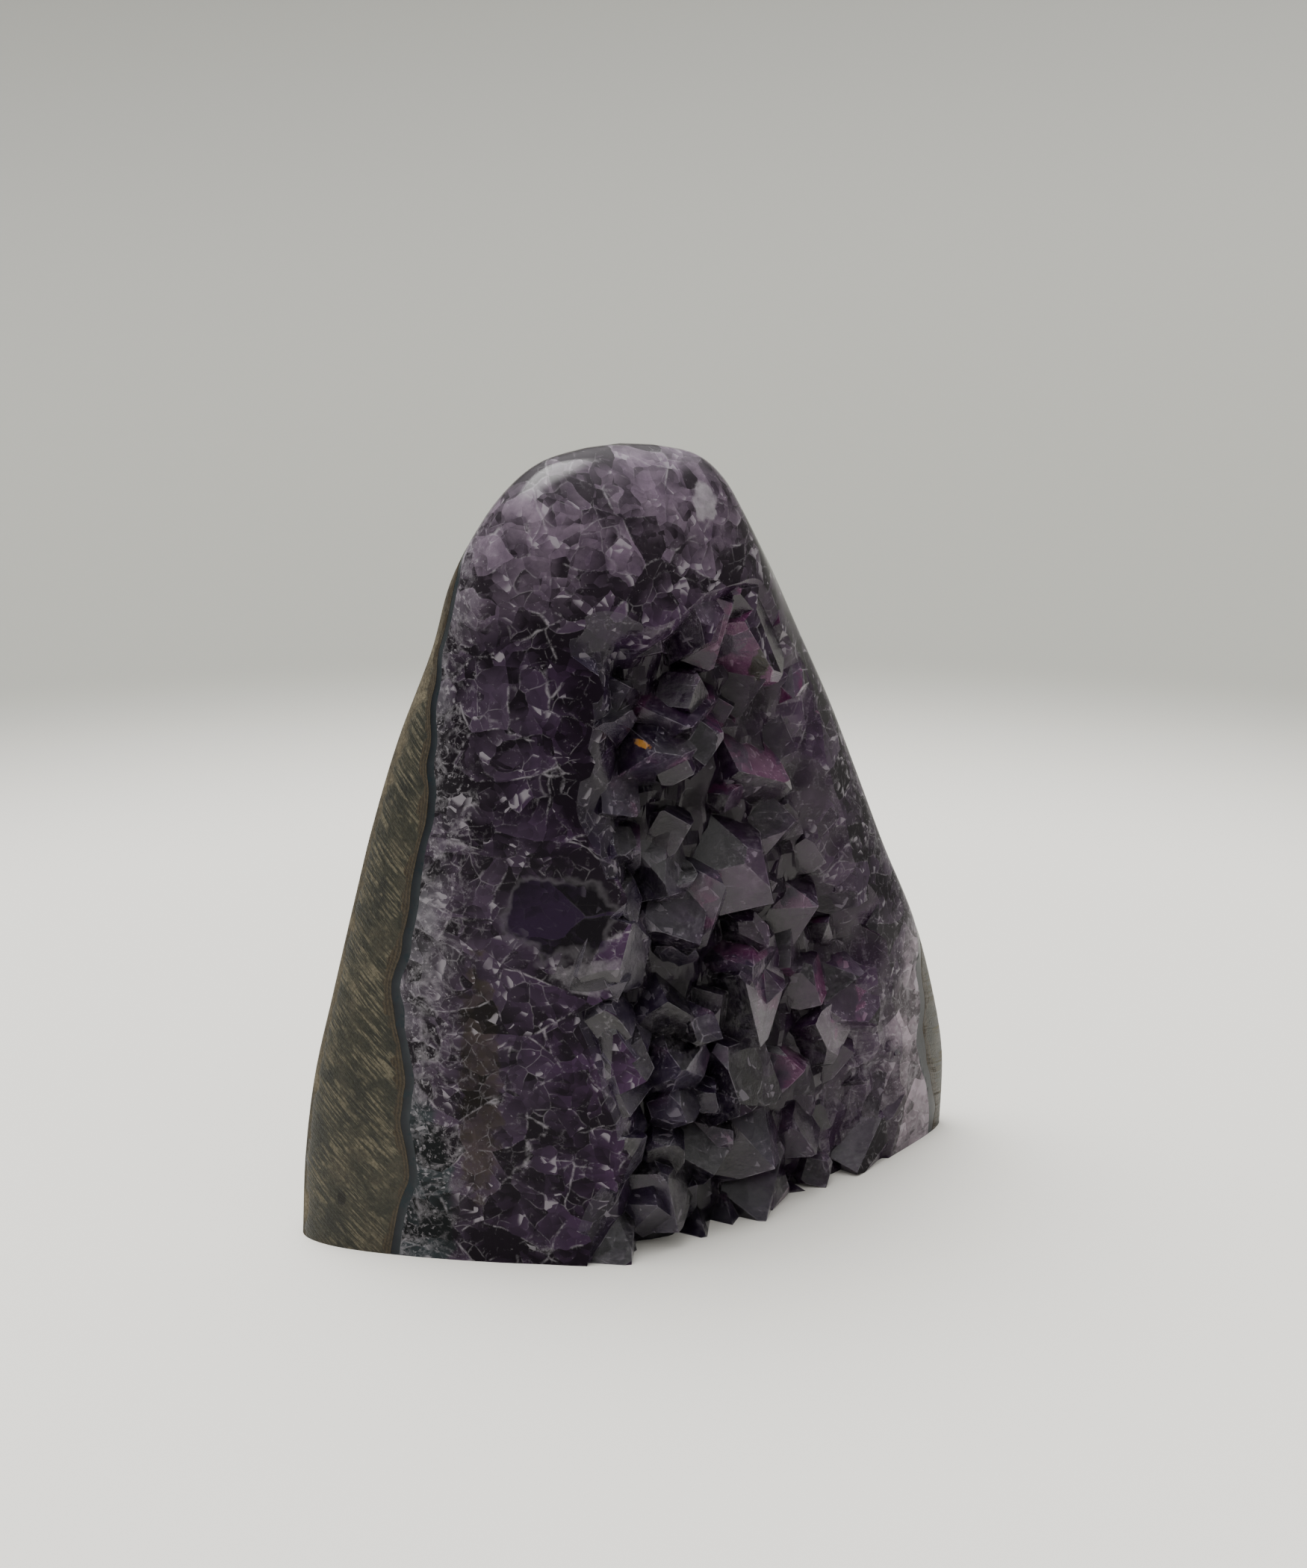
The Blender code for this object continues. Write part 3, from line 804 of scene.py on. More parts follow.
def basalt_material(look):
    """Basalt: sawn and half polished, so its saw marks stay and only its high spots shine."""
    material, tree = empty_material("sawn_basalt")
    mm = millimetres(tree)
    growth = add(tree, "ShaderNodeAttribute", attribute_name="growth")
    facing = add(tree, "ShaderNodeNewGeometry")
    normal = add(tree, "ShaderNodeSeparateXYZ", {0: (facing, "Normal")})
    mottle, grit, wander = (
        add(tree, "ShaderNodeTexNoise", {"Vector": mm, "Scale": 1.0 / size, "Detail": detail,
                                         "Roughness": roughness})
        for size, detail, roughness in BASALT_NOISES
    )
    turned_back = add(tree, "ShaderNodeMath", {0: mottle, 1: 1.0, 2: (normal, "Y")},
                      operation="MULTIPLY_ADD")
    back = add(tree, "ShaderNodeMapRange",
               {"Value": turned_back, "From Min": 0.34, "From Max": 0.5},
               interpolation_type="SMOOTHSTEP")
    # The saw ran from the upper left of the flank to its lower right, so a mark is even
    # along the cut and changes quickly across it.
    across = add(tree, "ShaderNodeVectorMath", {0: mm, 1: SAW_ACROSS},
                 operation="DOT_PRODUCT")
    along = add(tree, "ShaderNodeVectorMath", {0: mm, 1: SAW_ALONG},
                operation="DOT_PRODUCT")
    slow = add(tree, "ShaderNodeMath", {0: (along, "Value"), 1: SAW_ALONG_SHARE},
               operation="MULTIPLY")
    cut_place = add(tree, "ShaderNodeCombineXYZ", {"X": (across, "Value"), "Y": slow})
    saw = add(tree, "ShaderNodeTexNoise",
              {"Vector": cut_place, "Scale": SAW_MARKS_PER_MM, "Detail": 3.0,
               "Roughness": 0.7})
    marks = add(tree, "ShaderNodeMapRange",
                {"Value": saw, "From Min": 0.47, "From Max": 0.58},
                interpolation_type="SMOOTHSTEP")
    patchy = add(tree, "ShaderNodeMapRange",
                 {"Value": wander, "From Min": 0.4, "From Max": 0.58},
                 interpolation_type="SMOOTHSTEP")
    marked = add(tree, "ShaderNodeMath", {0: marks, 1: patchy}, operation="MULTIPLY")
    ground = add(tree, "ShaderNodeValToRGB", {"Fac": mottle}, stops=(
        (0.32, linear("#151613")), (0.5, tuple(look.basalt)), (0.66, linear("#353127")),
    ))
    pale_share = add(tree, "ShaderNodeMath", {0: marked, 1: 0.7}, operation="MULTIPLY")
    scored = add(tree, "ShaderNodeMix",
                 {0: pale_share, 6: ground, 7: tuple(look.basalt_pale)}, data_type="RGBA")
    weathered = add(tree, "ShaderNodeValToRGB", {"Fac": mottle}, stops=(
        (0.3, linear("#26241f")), (0.45, linear("#3d382e")), (0.55, linear("#4b4538")),
        (0.7, linear("#615a4b")),
    ))
    hewn = add(tree, "ShaderNodeMix",
               {0: back, 6: (scored, 2), 7: weathered}, data_type="RGBA")
    # Next to the agate the basalt is altered to a brown rind with fine lines in it.
    rind = add(tree, "ShaderNodeMapRange",
               {"Value": add(tree, "ShaderNodeMath",
                             {0: wander, 1: 3.4, 2: (growth, "Fac")},
                             operation="MULTIPLY_ADD"),
                "From Min": 0.2, "From Max": 0.45}, interpolation_type="SMOOTHSTEP")
    rind_lines = add(tree, "ShaderNodeMath",
                     {0: (growth, "Fac"), 1: 0.2}, operation="PINGPONG")
    rind_tone = add(tree, "ShaderNodeMapRange",
                    {"Value": rind_lines, "From Max": 0.2, "To Min": 0.2, "To Max": 1.0})
    rind_colour = add(tree, "ShaderNodeMix",
                      {0: rind_tone, 6: linear("#1c1812"), 7: linear("#393124")},
                      data_type="RGBA")
    rinded = add(tree, "ShaderNodeMix", {0: rind, 6: (hewn, 2), 7: (rind_colour, 2)},
                 data_type="RGBA")
    # Painted shade for the small pit.
    with_pit_shade = laid_over(tree, (rinded, 2), (spot(tree, mm, *BASALT_PIT_SHADE), "#12100c"))
    grain = add(tree, "ShaderNodeMapRange",
                {"Value": grit, "From Min": 0.3, "From Max": 0.7, "To Min": 0.5,
                 "To Max": 1.5})
    grained = add(tree, "ShaderNodeVectorMath", {0: with_pit_shade, "Scale": grain},
                  operation="SCALE")
    rough = add(tree, "ShaderNodeMapRange",
                {"Value": marked, "To Min": 0.4, "To Max": 0.7})
    dull = add(tree, "ShaderNodeMath", {0: rough, 1: back}, operation="MAXIMUM")
    relief = add(tree, "ShaderNodeMath", {0: grit, 1: saw}, operation="ADD")
    bump = add(tree, "ShaderNodeBump",
               {"Height": relief, "Strength": 0.6, "Distance": 0.25 * MM})
    shader = add(tree, "ShaderNodeBsdfPrincipled",
                 {"Base Color": grained, "Roughness": dull, "Normal": bump, "IOR": 1.55,
                  "Specular IOR Level": 0.2})
    add(tree, "ShaderNodeOutputMaterial", {"Surface": shader})
    return material


class AMETHYST_OT_basalt(bpy.types.Operator):
    """Make the basalt behind the agate, with its hewn back"""

    bl_idname = "amethyst.basalt"
    bl_label = "Basalt"

    def execute(self, context):
        form = context.scene.amethyst_form
        near = (form.agate_thickness / 2.0 - form.lap) / MM
        piece = stone_slice(form, "hewn_basalt", 0.0, near, None)
        rough_hewn(piece, form.hewn_roughness)
        store(piece, "growth", growth_at)
        settle(piece, basalt_material(context.scene.amethyst_look), "basalt_matrix",
               "basalt_matrix")
        return {"FINISHED"}


# -------------------------------------------------------------------------------- agate


def agate_material(look):
    """Agate: polished, waxy and dark, with fine banding along the contact."""
    material, tree = empty_material("polished_agate")
    mm = millimetres(tree)
    growth = add(tree, "ShaderNodeAttribute", attribute_name="growth")
    wobble = add(tree, "ShaderNodeTexNoise",
                 {"Vector": mm, "Scale": 1.0 / 3.0, "Detail": 4.0, "Roughness": 0.6})
    depth = add(tree, "ShaderNodeMath",
                {0: wobble, 1: 0.9, 2: (growth, "Fac")}, operation="MULTIPLY_ADD")
    bands = add(tree, "ShaderNodeValToRGB",
                {"Fac": add(tree, "ShaderNodeMapRange",
                            {"Value": depth, "From Min": -0.35, "From Max": 1.2})},
                stops=((0.0, linear("#3c2f1c")), (0.1, linear("#0e0d0c")),
                       (0.2, linear("#131619")), (0.4, linear("#191c21")),
                       (0.62, tuple(look.agate)), (1.0, linear("#2d3135"))))
    spots = add(tree, "ShaderNodeTexNoise",
                {"Vector": mm, "Scale": 1.0 / 2.4, "Detail": 3.0, "Roughness": 0.7})
    teal = add(tree, "ShaderNodeMapRange",
               {"Value": spots, "From Min": 0.55, "From Max": 0.66, "To Max": 0.75},
               interpolation_type="SMOOTHSTEP")
    spotted = add(tree, "ShaderNodeMix",
                  {0: teal, 6: bands, 7: linear("#101d23")}, data_type="RGBA")
    bump = add(tree, "ShaderNodeBump",
               {"Height": spots, "Strength": 0.15, "Distance": 0.1 * MM})
    shader = add(tree, "ShaderNodeBsdfPrincipled",
                 {"Base Color": (spotted, 2), "Roughness": 0.18, "IOR": 1.54,
                  "Specular IOR Level": 0.15, "Normal": bump})
    add(tree, "ShaderNodeOutputMaterial", {"Surface": shader})
    return material


class AMETHYST_OT_agate(bpy.types.Operator):
    """Make the agate band that lines the basalt"""

    bl_idname = "amethyst.agate"
    bl_label = "Agate band"

    def execute(self, context):
        form = context.scene.amethyst_form
        half = form.agate_thickness / MM / 2.0
        piece = stone_slice(form, "agate_lining", AGATE_INSET, -half, half)
        store(piece, "growth", growth_at)
        settle(piece, agate_material(context.scene.amethyst_look), "agate_band", "agate_band")
        return {"FINISHED"}


# ----------------------------------------------------------------------------- amethyst


def mark_natural(thing, share):
    """Mark every face as grown and not polished; a share under 1 shows some polish."""
    layer = thing.data.attributes.new("natural", "FLOAT", "FACE")
    layer.data.foreach_set("value", [share] * len(thing.data.polygons))


def quartz_point(name, radius, length, rng):
    """A six-sided prism with three large and three lesser tip faces, its tip at the origin."""
    bm = bmesh.new()
    bmesh.ops.create_cone(
        bm, cap_ends=True, segments=6, radius1=radius, radius2=radius, depth=length * 2.0
    )
    for side in range(6):
        bearing = math.radians(30.0 + 60.0 * side)
        setback = 0.0 if side % 2 == 0 else rng.uniform(*LESSER_FACE_SETBACK) * radius
        level = math.sin(TIP_FACE_ANGLE)
        normal = Vector((math.cos(bearing) * level, math.sin(bearing) * level, 0.0))
        normal.z = math.cos(TIP_FACE_ANGLE)
        reach = TIP_OFF_CENTRE * radius
        off_axis = Vector((rng.uniform(-reach, reach), rng.uniform(-reach, reach), 0.0))
        bmesh.ops.bisect_plane(
            bm,
            geom=bm.verts[:] + bm.edges[:] + bm.faces[:],
            plane_co=off_axis + Vector((0.0, 0.0, setback)),
            plane_no=normal,
            clear_outer=True,
        )
        bmesh.ops.holes_fill(bm, edges=[edge for edge in bm.edges if edge.is_boundary])
    bmesh.ops.scale(bm, vec=(1.0, rng.uniform(*FLATTENING), 1.0), verts=bm.verts)
    bmesh.ops.triangulate(bm, faces=bm.faces)
    bmesh.ops.recalc_face_normals(bm, faces=bm.faces)
    thing = mesh_object(name, bm)
    mark_natural(thing, 1.0)
    return thing


def helper_collection(name, things):
    """Move helper objects into a collection of their own."""
    collection = bpy.data.collections.new(name)
    bpy.context.scene.collection.children.link(collection)
    for thing in things:
        bpy.context.scene.collection.objects.unlink(thing)
        collection.objects.link(thing)
    return collection


def crystal_habits(count, seed):
    """Crystals of radius 1 mm with different tips, for the bed to pick from."""
    rng = random.Random(seed)
    return [quartz_point(f"habit_{k:02d}", 1.0, HABIT_LENGTH, rng) for k in range(count)]


def leading_crystals(plan, seed):
    """The crystals that stand out, each at its own place."""
    rng = random.Random(seed)
    crystals = []
    for number, row in enumerate(LEADING_CRYSTALS, start=1):
        x, z, setback, radius, right, up, turn = row
        length = ROOT_LENGTH + radius * math.tan(TIP_FACE_ANGLE)
        thing = quartz_point(f"leading_{number:02d}", radius, length, rng)
        tip = Vector((x, front_y(x, z, plan) + setback, z)) * MM
        axis = Vector((math.tan(math.radians(right)), -1.0, math.tan(math.radians(up))))
        stand = axis.to_track_quat("Z", "Y").to_matrix().to_4x4()
        spin = Matrix.Rotation(math.radians(turn), 4, "Z")
        thing.data.transform(Matrix.Translation(tip) @ stand @ spin)
        crystals.append(thing)
    return crystals


def crystal_bed(form, crystals):
    """The crust without its crystals, with what the crystals need to know at each point."""
    deepest = crystals.bed_depth / MM
    known = {"druse": [], "room": [], "wide_room": [], "rise": []}

    def shift(point, out):
        share = druse_share(point.x, point.z) if out.y < 0.0 else 0.0
        depth = bed_depth(point, deepest) if out.y < 0.0 else 0.0
        depth += BED_BUMP_HEIGHT * noise.noise(point / BED_BUMP_SIZE) * share
        clear_of_leading = min(
            math.hypot(point.x - row[0], point.z - row[1]) - LEADING_ROOM * row[3]
            for row in LEADING_CRYSTALS
        )
        grows = point.y < contact_y(point.x, point.z)
        on_druse = grows and share > LEAST_DRUSE
        known["druse"].append(share if grows else 0.0)
        known["room"].append(float(on_druse and clear_of_leading > 0.0))
        known["wide_room"].append(float(on_druse and clear_of_leading > WIDE_ROOM))
        known["rise"].append(depth * MM)
        return BODY_ALLOWANCE - depth

    bed = stone_form("crystal_bed", form.around, form.per_section, shift, BED_SUNK)
    mark_natural(bed, BED_NATURAL)
    # The crown's point comes last, and no crystal grows there.
    for name, values in known.items():
        layer = bed.data.attributes.new(name, "FLOAT", "POINT")
        layer.data.foreach_set("value", [*values, 0.0])
    return bed


def crystal_tier(tree, group, label, where, druse, rise, seed_step):
    """Crystals of one size range on the bed: points, lean, spin and size for each."""
    seed = add(tree, "FunctionNodeIntegerMath", {0: (group, "Seed"), 1: seed_step})
    points = add(tree, "GeometryNodeDistributePointsOnFaces", {
        "Mesh": (group, "Bed"),
        "Distance Min": (group, f"{label} spacing"),
        "Density Max": POINTS_PER_SQUARE_METRE,
        "Density Factor": where,
        "Seed": seed,
    }, distribute_method="POISSON")
    setback = add(tree, "FunctionNodeRandomValue",
                  {2: (group, f"{label} least setback"), 3: (group, f"{label} most setback"),
                   "Seed": seed})
    # Near the edge of the natural face the tips pass the polish, which then cuts them flat.
    behind = add(tree, "ShaderNodeMapRange",
                 {"Value": (druse, 0), "To Min": -EDGE_OVERSHOOT * MM, "To Max": (setback, 1)})
    back = add(tree, "ShaderNodeMath", {0: behind, 1: (rise, 0)}, operation="SUBTRACT")
    offset = add(tree, "ShaderNodeCombineXYZ", {"Y": back})
    placed = add(tree, "GeometryNodeSetPosition",
                 {"Geometry": (points, "Points"), "Offset": offset})
    upright = add(tree, "FunctionNodeEulerToRotation",
                  {0: (math.radians(90.0), 0.0, CRYSTAL_TURN)})
    least = add(tree, "ShaderNodeMath", {0: (group, "Lean"), 1: -1.0}, operation="MULTIPLY")
    low = add(tree, "ShaderNodeCombineXYZ", {"X": least, "Y": least})
    high = add(tree, "ShaderNodeCombineXYZ", {"X": (group, "Lean"), "Y": (group, "Lean")})
    lean = add(tree, "FunctionNodeRandomValue", {0: low, 1: high, "Seed": seed},
               data_type="FLOAT_VECTOR")
    leaning = add(tree, "FunctionNodeRotateRotation",
                  {0: upright, 1: add(tree, "FunctionNodeEulerToRotation", {0: (lean, 0)})},
                  rotation_space="LOCAL")
    turn = add(tree, "FunctionNodeRandomValue",
               {0: (0.0, 0.0, 0.0), 1: (0.0, 0.0, math.tau), "Seed": seed},
               data_type="FLOAT_VECTOR")
    turned = add(tree, "FunctionNodeRotateRotation",
                 {0: leaning, 1: add(tree, "FunctionNodeEulerToRotation", {0: (turn, 0)})},
                 rotation_space="LOCAL")
    # The habits are 1 mm in radius, so a radius in metres is a thousandth of the scale.
    radius = add(tree, "FunctionNodeRandomValue",
                 {2: (group, f"{label} least radius"), 3: (group, f"{label} most radius"),
                  "Seed": add(tree, "FunctionNodeIntegerMath", {0: seed, 1: RADIUS_SEED_STEP})})
    scale = add(tree, "ShaderNodeMath", {0: (radius, 1), 1: 1.0 / MM}, operation="MULTIPLY")
    habits = add(tree, "GeometryNodeCollectionInfo",
                 {"Collection": (group, "Habits"), "Separate Children": True,
                  "Reset Children": True})
    pick = add(tree, "FunctionNodeRandomValue", {4: 0, 5: LAST_PICK, "Seed": seed},
               data_type="INT")
    return add(tree, "GeometryNodeInstanceOnPoints", {
        "Points": placed, "Instance": habits, "Pick Instance": True,
        "Instance Index": (pick, 2), "Rotation": turned, "Scale": scale,
    })


def tier_sizes(crystals, tier, setbacks):
    """The tree's inputs for one size range of crystals, by name."""
    sizes = [getattr(crystals, f"{tier}_{size}") for size in ("spacing", "least", "most")]
    sizes += [setback * MM for setback in setbacks]
    return {f"{tier.capitalize()} {name}": size for name, size in zip(TIER_INPUTS, sizes)}


def crust_tree():
    """Grow crystals on the bed, fuse them with it and cut the whole to the polish."""
    tree = bpy.data.node_groups.new("Crystal crust", "GeometryNodeTree")
    sizes = [(f"{tier} {name}", "Float") for tier in ("Large", "Small") for name in TIER_INPUTS]
    for name, kind in (
        ("Bed", "Geometry"), ("Habits", "Collection"), ("Leading crystals", "Collection"),
        ("Polished form", "Object"), ("Crystal space", "Object"), *sizes,
        ("Lean", "Float"), ("Seed", "Int"), ("Finish", "Material"),
    ):
        tree.interface.new_socket(name, in_out="INPUT", socket_type=f"NodeSocket{kind}")
    tree.interface.new_socket("Crust", in_out="OUTPUT", socket_type="NodeSocketGeometry")
    group = add(tree, "NodeGroupInput")
    druse, rise, room, wide_room = (
        add(tree, "GeometryNodeInputNamedAttribute", {"Name": name})
        for name in ("druse", "rise", "room", "wide_room")
    )
    large = crystal_tier(tree, group, "Large", wide_room, druse, rise, 0)
    small = crystal_tier(tree, group, "Small", room, druse, rise, SMALL_SEED_STEP)
    leading = add(tree, "GeometryNodeCollectionInfo",
                  {"Collection": (group, "Leading crystals"), "Separate Children": True})
    fused = add(tree, "GeometryNodeMeshBoolean", operation="UNION", solver="MANIFOLD")
    for part in ((group, "Bed"), (large, 0), (small, 0), (leading, 0)):
        tree.links.new(part[0].outputs[part[1]], fused.inputs["Mesh 2"])
    polish = add(tree, "GeometryNodeObjectInfo", {"Object": (group, "Polished form")})
    space = add(tree, "GeometryNodeObjectInfo", {"Object": (group, "Crystal space")})
    cut = add(tree, "GeometryNodeMeshBoolean", operation="INTERSECT", solver="MANIFOLD")
    for part in ((fused, 0), (polish, "Geometry"), (space, "Geometry")):
        tree.links.new(part[0].outputs[part[1]], cut.inputs["Mesh 2"])
    plain = add(tree, "GeometryNodeRealizeInstances", {"Geometry": cut})
    finished = add(tree, "GeometryNodeSetMaterial",
                   {"Geometry": plain, "Material": (group, "Finish")})
    add(tree, "NodeGroupOutput", {"Crust": finished})
    return tree


def mark_facets(piece, seed):
    """Give every flat natural face one number of its own, for the finish to read."""
    rng = random.Random(seed)
    bm = bmesh.new()
    bm.from_mesh(piece.data)
    bm.faces.ensure_lookup_table()
    natural = bm.faces.layers.float.get("natural")
    facet = bm.faces.layers.float.new("facet")
    same_plane = math.cos(SAME_FACET)
    done = [False] * len(bm.faces)
    for face in bm.faces:
        if done[face.index]:
            continue
        done[face.index] = True
        value = rng.random() if face[natural] > 0.5 else 0.5
        patch = [face]
        while patch:
            here = patch.pop()
            here[facet] = value
            for edge in here.edges:
                for there in edge.link_faces:
                    if done[there.index] or there[natural] != face[natural]:
                        continue
                    if face[natural] < 0.5 or there.normal.dot(here.normal) > same_plane:
                        done[there.index] = True
                        patch.append(there)
    bm.to_mesh(piece.data)
    bm.free()


def vein_lines(tree, vector, size, width):
    """1 on the edges of a cell pattern, 0 away from them; size and width in millimetres."""
    cells = add(tree, "ShaderNodeTexVoronoi", {"Vector": vector, "Scale": 1.0 / size},
                feature="DISTANCE_TO_EDGE")
    return add(tree, "ShaderNodeMapRange",
               {"Value": cells, "From Max": width / size, "To Min": 1.0, "To Max": 0.0},
               interpolation_type="SMOOTHSTEP")


def plates(tree, vector, size, slope):
    """Tilted plates: each cell of the pattern is a plane with a tilt and a level of its own."""
    cells = add(tree, "ShaderNodeTexVoronoi", {"Vector": vector, "Scale": 1.0 / size})
    tilt = add(tree, "ShaderNodeVectorMath",
               {0: (cells, "Color"), 1: (0.5, 0.5, 0.5)}, operation="SUBTRACT")
    offset = add(tree, "ShaderNodeVectorMath",
                 {0: vector, 1: (cells, "Position")}, operation="SUBTRACT")
    rise = add(tree, "ShaderNodeVectorMath", {0: tilt, 1: offset}, operation="DOT_PRODUCT")
    level = add(tree, "ShaderNodeSeparateXYZ", {0: (cells, "Color")})
    return add(tree, "ShaderNodeMath",
               {0: (rise, "Value"), 1: slope / size, 2: (level, "X")},
               operation="MULTIPLY_ADD")


def quartz_grain(tree, mm):
    """Coordinates for the grains, which wander in long and short waves, plain and stretched."""
    bent = mm
    for size, reach in QUARTZ_WAVES:
        wobble = add(tree, "ShaderNodeTexNoise",
                     {"Vector": mm, "Scale": 1.0 / size, "Detail": 1.5, "Roughness": 0.5})
        centred = add(tree, "ShaderNodeVectorMath",
                      {0: (wobble, "Color"), 1: (0.5, 0.5, 0.5)}, operation="SUBTRACT")
        bent = add(tree, "ShaderNodeVectorMath", {0: centred, 1: (reach,) * 3, 2: bent},
                   operation="MULTIPLY_ADD")
    stretched = add(tree, "ShaderNodeVectorMath", {0: bent, 1: GRAIN_STRETCH},
                    operation="MULTIPLY")
    return bent, stretched


def healed_cracks(tree, at):
    """Grain edges that show here and there, wiry threads and flecks, densest at the root."""
    layers = []
    for vector, size, width, at_root, away in (
        (at["grains"], COARSE_PLATE, 0.2, 0.5, 0.5), (at["bent"], MIDDLE_PLATE, 0.13, 0.4, 0.24),
    ):
        line = vein_lines(tree, vector, size, width)
        strength = add(tree, "ShaderNodeMapRange",
                       {"Value": at["near_root"], "To Min": away, "To Max": at_root})
        patch = add(tree, "ShaderNodeMapRange",
                    {"Value": at["broken"], "From Min": 0.48, "From Max": 0.62,
                     "To Max": strength})
        layers.append(
            add(tree, "ShaderNodeMath", {0: line, 1: patch}, operation="MULTIPLY"))
    wiry = add(tree, "ShaderNodeTexNoise",
               {"Vector": at["bent"], "Scale": 1.0 / THREAD_SIZE, "Detail": 5.0,
                "Roughness": 0.6, "Lacunarity": 2.3, "Offset": 1.0, "Gain": 2.0},
               noise_type="RIDGED_MULTIFRACTAL")
    level = add(tree, "ShaderNodeMapRange",
                {"Value": at["near_root"], "To Min": 1.93, "To Max": 1.35})
    level = add(tree, "ShaderNodeMath", {0: (at["natural"], "Fac"), 1: -0.42, 2: level},
                operation="MULTIPLY_ADD")
    threads = add(tree, "ShaderNodeMapRange",
                  {"Value": wiry, "From Min": level, "To Max": 0.47,
                   "From Max": add(tree, "ShaderNodeMath", {0: level, 1: 0.7})})
    crowded = add(tree, "ShaderNodeMapRange",
                  {"Value": at["broken"], "From Min": 0.36, "From Max": 0.62, "To Min": 0.15})
    layers.append(
        add(tree, "ShaderNodeMath", {0: threads, 1: crowded}, operation="MULTIPLY"))
    level = add(tree, "ShaderNodeMapRange",
                {"Value": at["near_root"], "To Min": 0.66, "To Max": 0.54})
    layers.append(add(tree, "ShaderNodeMapRange", {
        "Value": at["flecks"], "From Min": level, "To Max": 0.5,
        "From Max": add(tree, "ShaderNodeMath", {0: level, 1: 0.1})}))
    white = layers[0]
    for layer in layers[1:]:
        white = add(tree, "ShaderNodeMath", {0: white, 1: layer}, operation="MAXIMUM")
    return white


def frost_and_edge_highlight(tree, at):
    """White on the natural faces: specks in patches, and a white line along the sharp edges,
    which is partly fine chipping and partly a painted highlight where the edges catch the light.
    """
    level = add(tree, "ShaderNodeMapRange",
                {"Value": at["frosty"], "From Min": 0.42, "From Max": 0.62, "To Min": 0.7,
                 "To Max": 0.46})
    specks = add(tree, "ShaderNodeMapRange",
                 {"Value": at["specks"], "From Min": level, "To Max": 0.36,
                  "From Max": add(tree, "ShaderNodeMath", {0: level, 1: 0.14})})
    # Partly painted highlight: the bevel finds every sharp edge, standing or hollow, and whitens
    # it in patches.
    rounded = add(tree, "ShaderNodeBevel", {"Radius": CHIPPED_AND_LIT_EDGE * MM}, samples=4)
    across = add(tree, "ShaderNodeVectorMath",
                 {0: (at["facing"], "Normal"), 1: rounded}, operation="DOT_PRODUCT")
    edge_chips_and_highlight = add(tree, "ShaderNodeMapRange",
                  {"Value": (across, "Value"), "From Min": 0.985, "From Max": 0.9,
                   "To Max": 0.6})
    edge_patches = add(tree, "ShaderNodeMapRange",
               {"Value": at["flicker"], "From Min": 0.4, "From Max": 0.6})
    edges = add(tree, "ShaderNodeMath", {0: edge_chips_and_highlight, 1: edge_patches}, operation="MULTIPLY")
    both = add(tree, "ShaderNodeMath", {0: specks, 1: edges}, operation="MAXIMUM")
    return add(tree, "ShaderNodeMath", {0: both, 1: (at["natural"], "Fac")},
               operation="MULTIPLY")


def polished_violet(tree, look, at, plate_tone_and_light):
    """Colour under the polish: grey at the root, then purple in clouds, with single stains,
    painted light on the tilted plates and a painted paler top on the dome.
    """
    depth = add(tree, "ShaderNodeMath", {0: at["clouds"], 1: 16.0, 2: (at["growth"], "Fac")},
                operation="MULTIPLY_ADD")
    ground = add(tree, "ShaderNodeValToRGB",
                 {"Fac": add(tree, "ShaderNodeMapRange",
                             {"Value": depth, "From Min": 6.0, "From Max": 30.0})},
                 stops=((0.0, tuple(look.root_quartz)), (0.25, linear("#352c38")),
                        (0.5, linear("#2b212f")), (0.7, tuple(look.purple)),
                        (1.0, linear("#38263d"))))
    # Painted light: the dome grows paler towards its top, in patches, where it faces the lamps.
    height = add(tree, "ShaderNodeMapRange",
                 {"Value": (at["point"], "Z"), "From Min": 84.0, "From Max": 106.0,
                  "To Max": 0.46}, interpolation_type="SMOOTHSTEP")
    iron, painted_dome_light = (
        add(tree, "ShaderNodeMath", {0: share, 1: at["flicker"]}, operation="MULTIPLY")
        for share in (at["iron_stain"], height)
    )
    stained_and_dome_lit = laid_over(
        tree, ground, (iron, "#2b2719"), (at["massive_foot"], "#252a2d"),
        (at["pale_rim"], "#7d727b"), (at["dark_cell"], "#180d1f"), (painted_dome_light, "#9a8c9a"),
    )
    # Painted light: the plates' gradients brighten and darken the colour under the polish.
    painted_plate_light = add(tree, "ShaderNodeMapRange",
              {"Value": plate_tone_and_light, "From Min": 0.25, "From Max": 0.85, "To Min": 0.25,
               "To Max": 1.6})
    return add(tree, "ShaderNodeVectorMath", {0: stained_and_dome_lit, "Scale": painted_plate_light}, operation="SCALE")


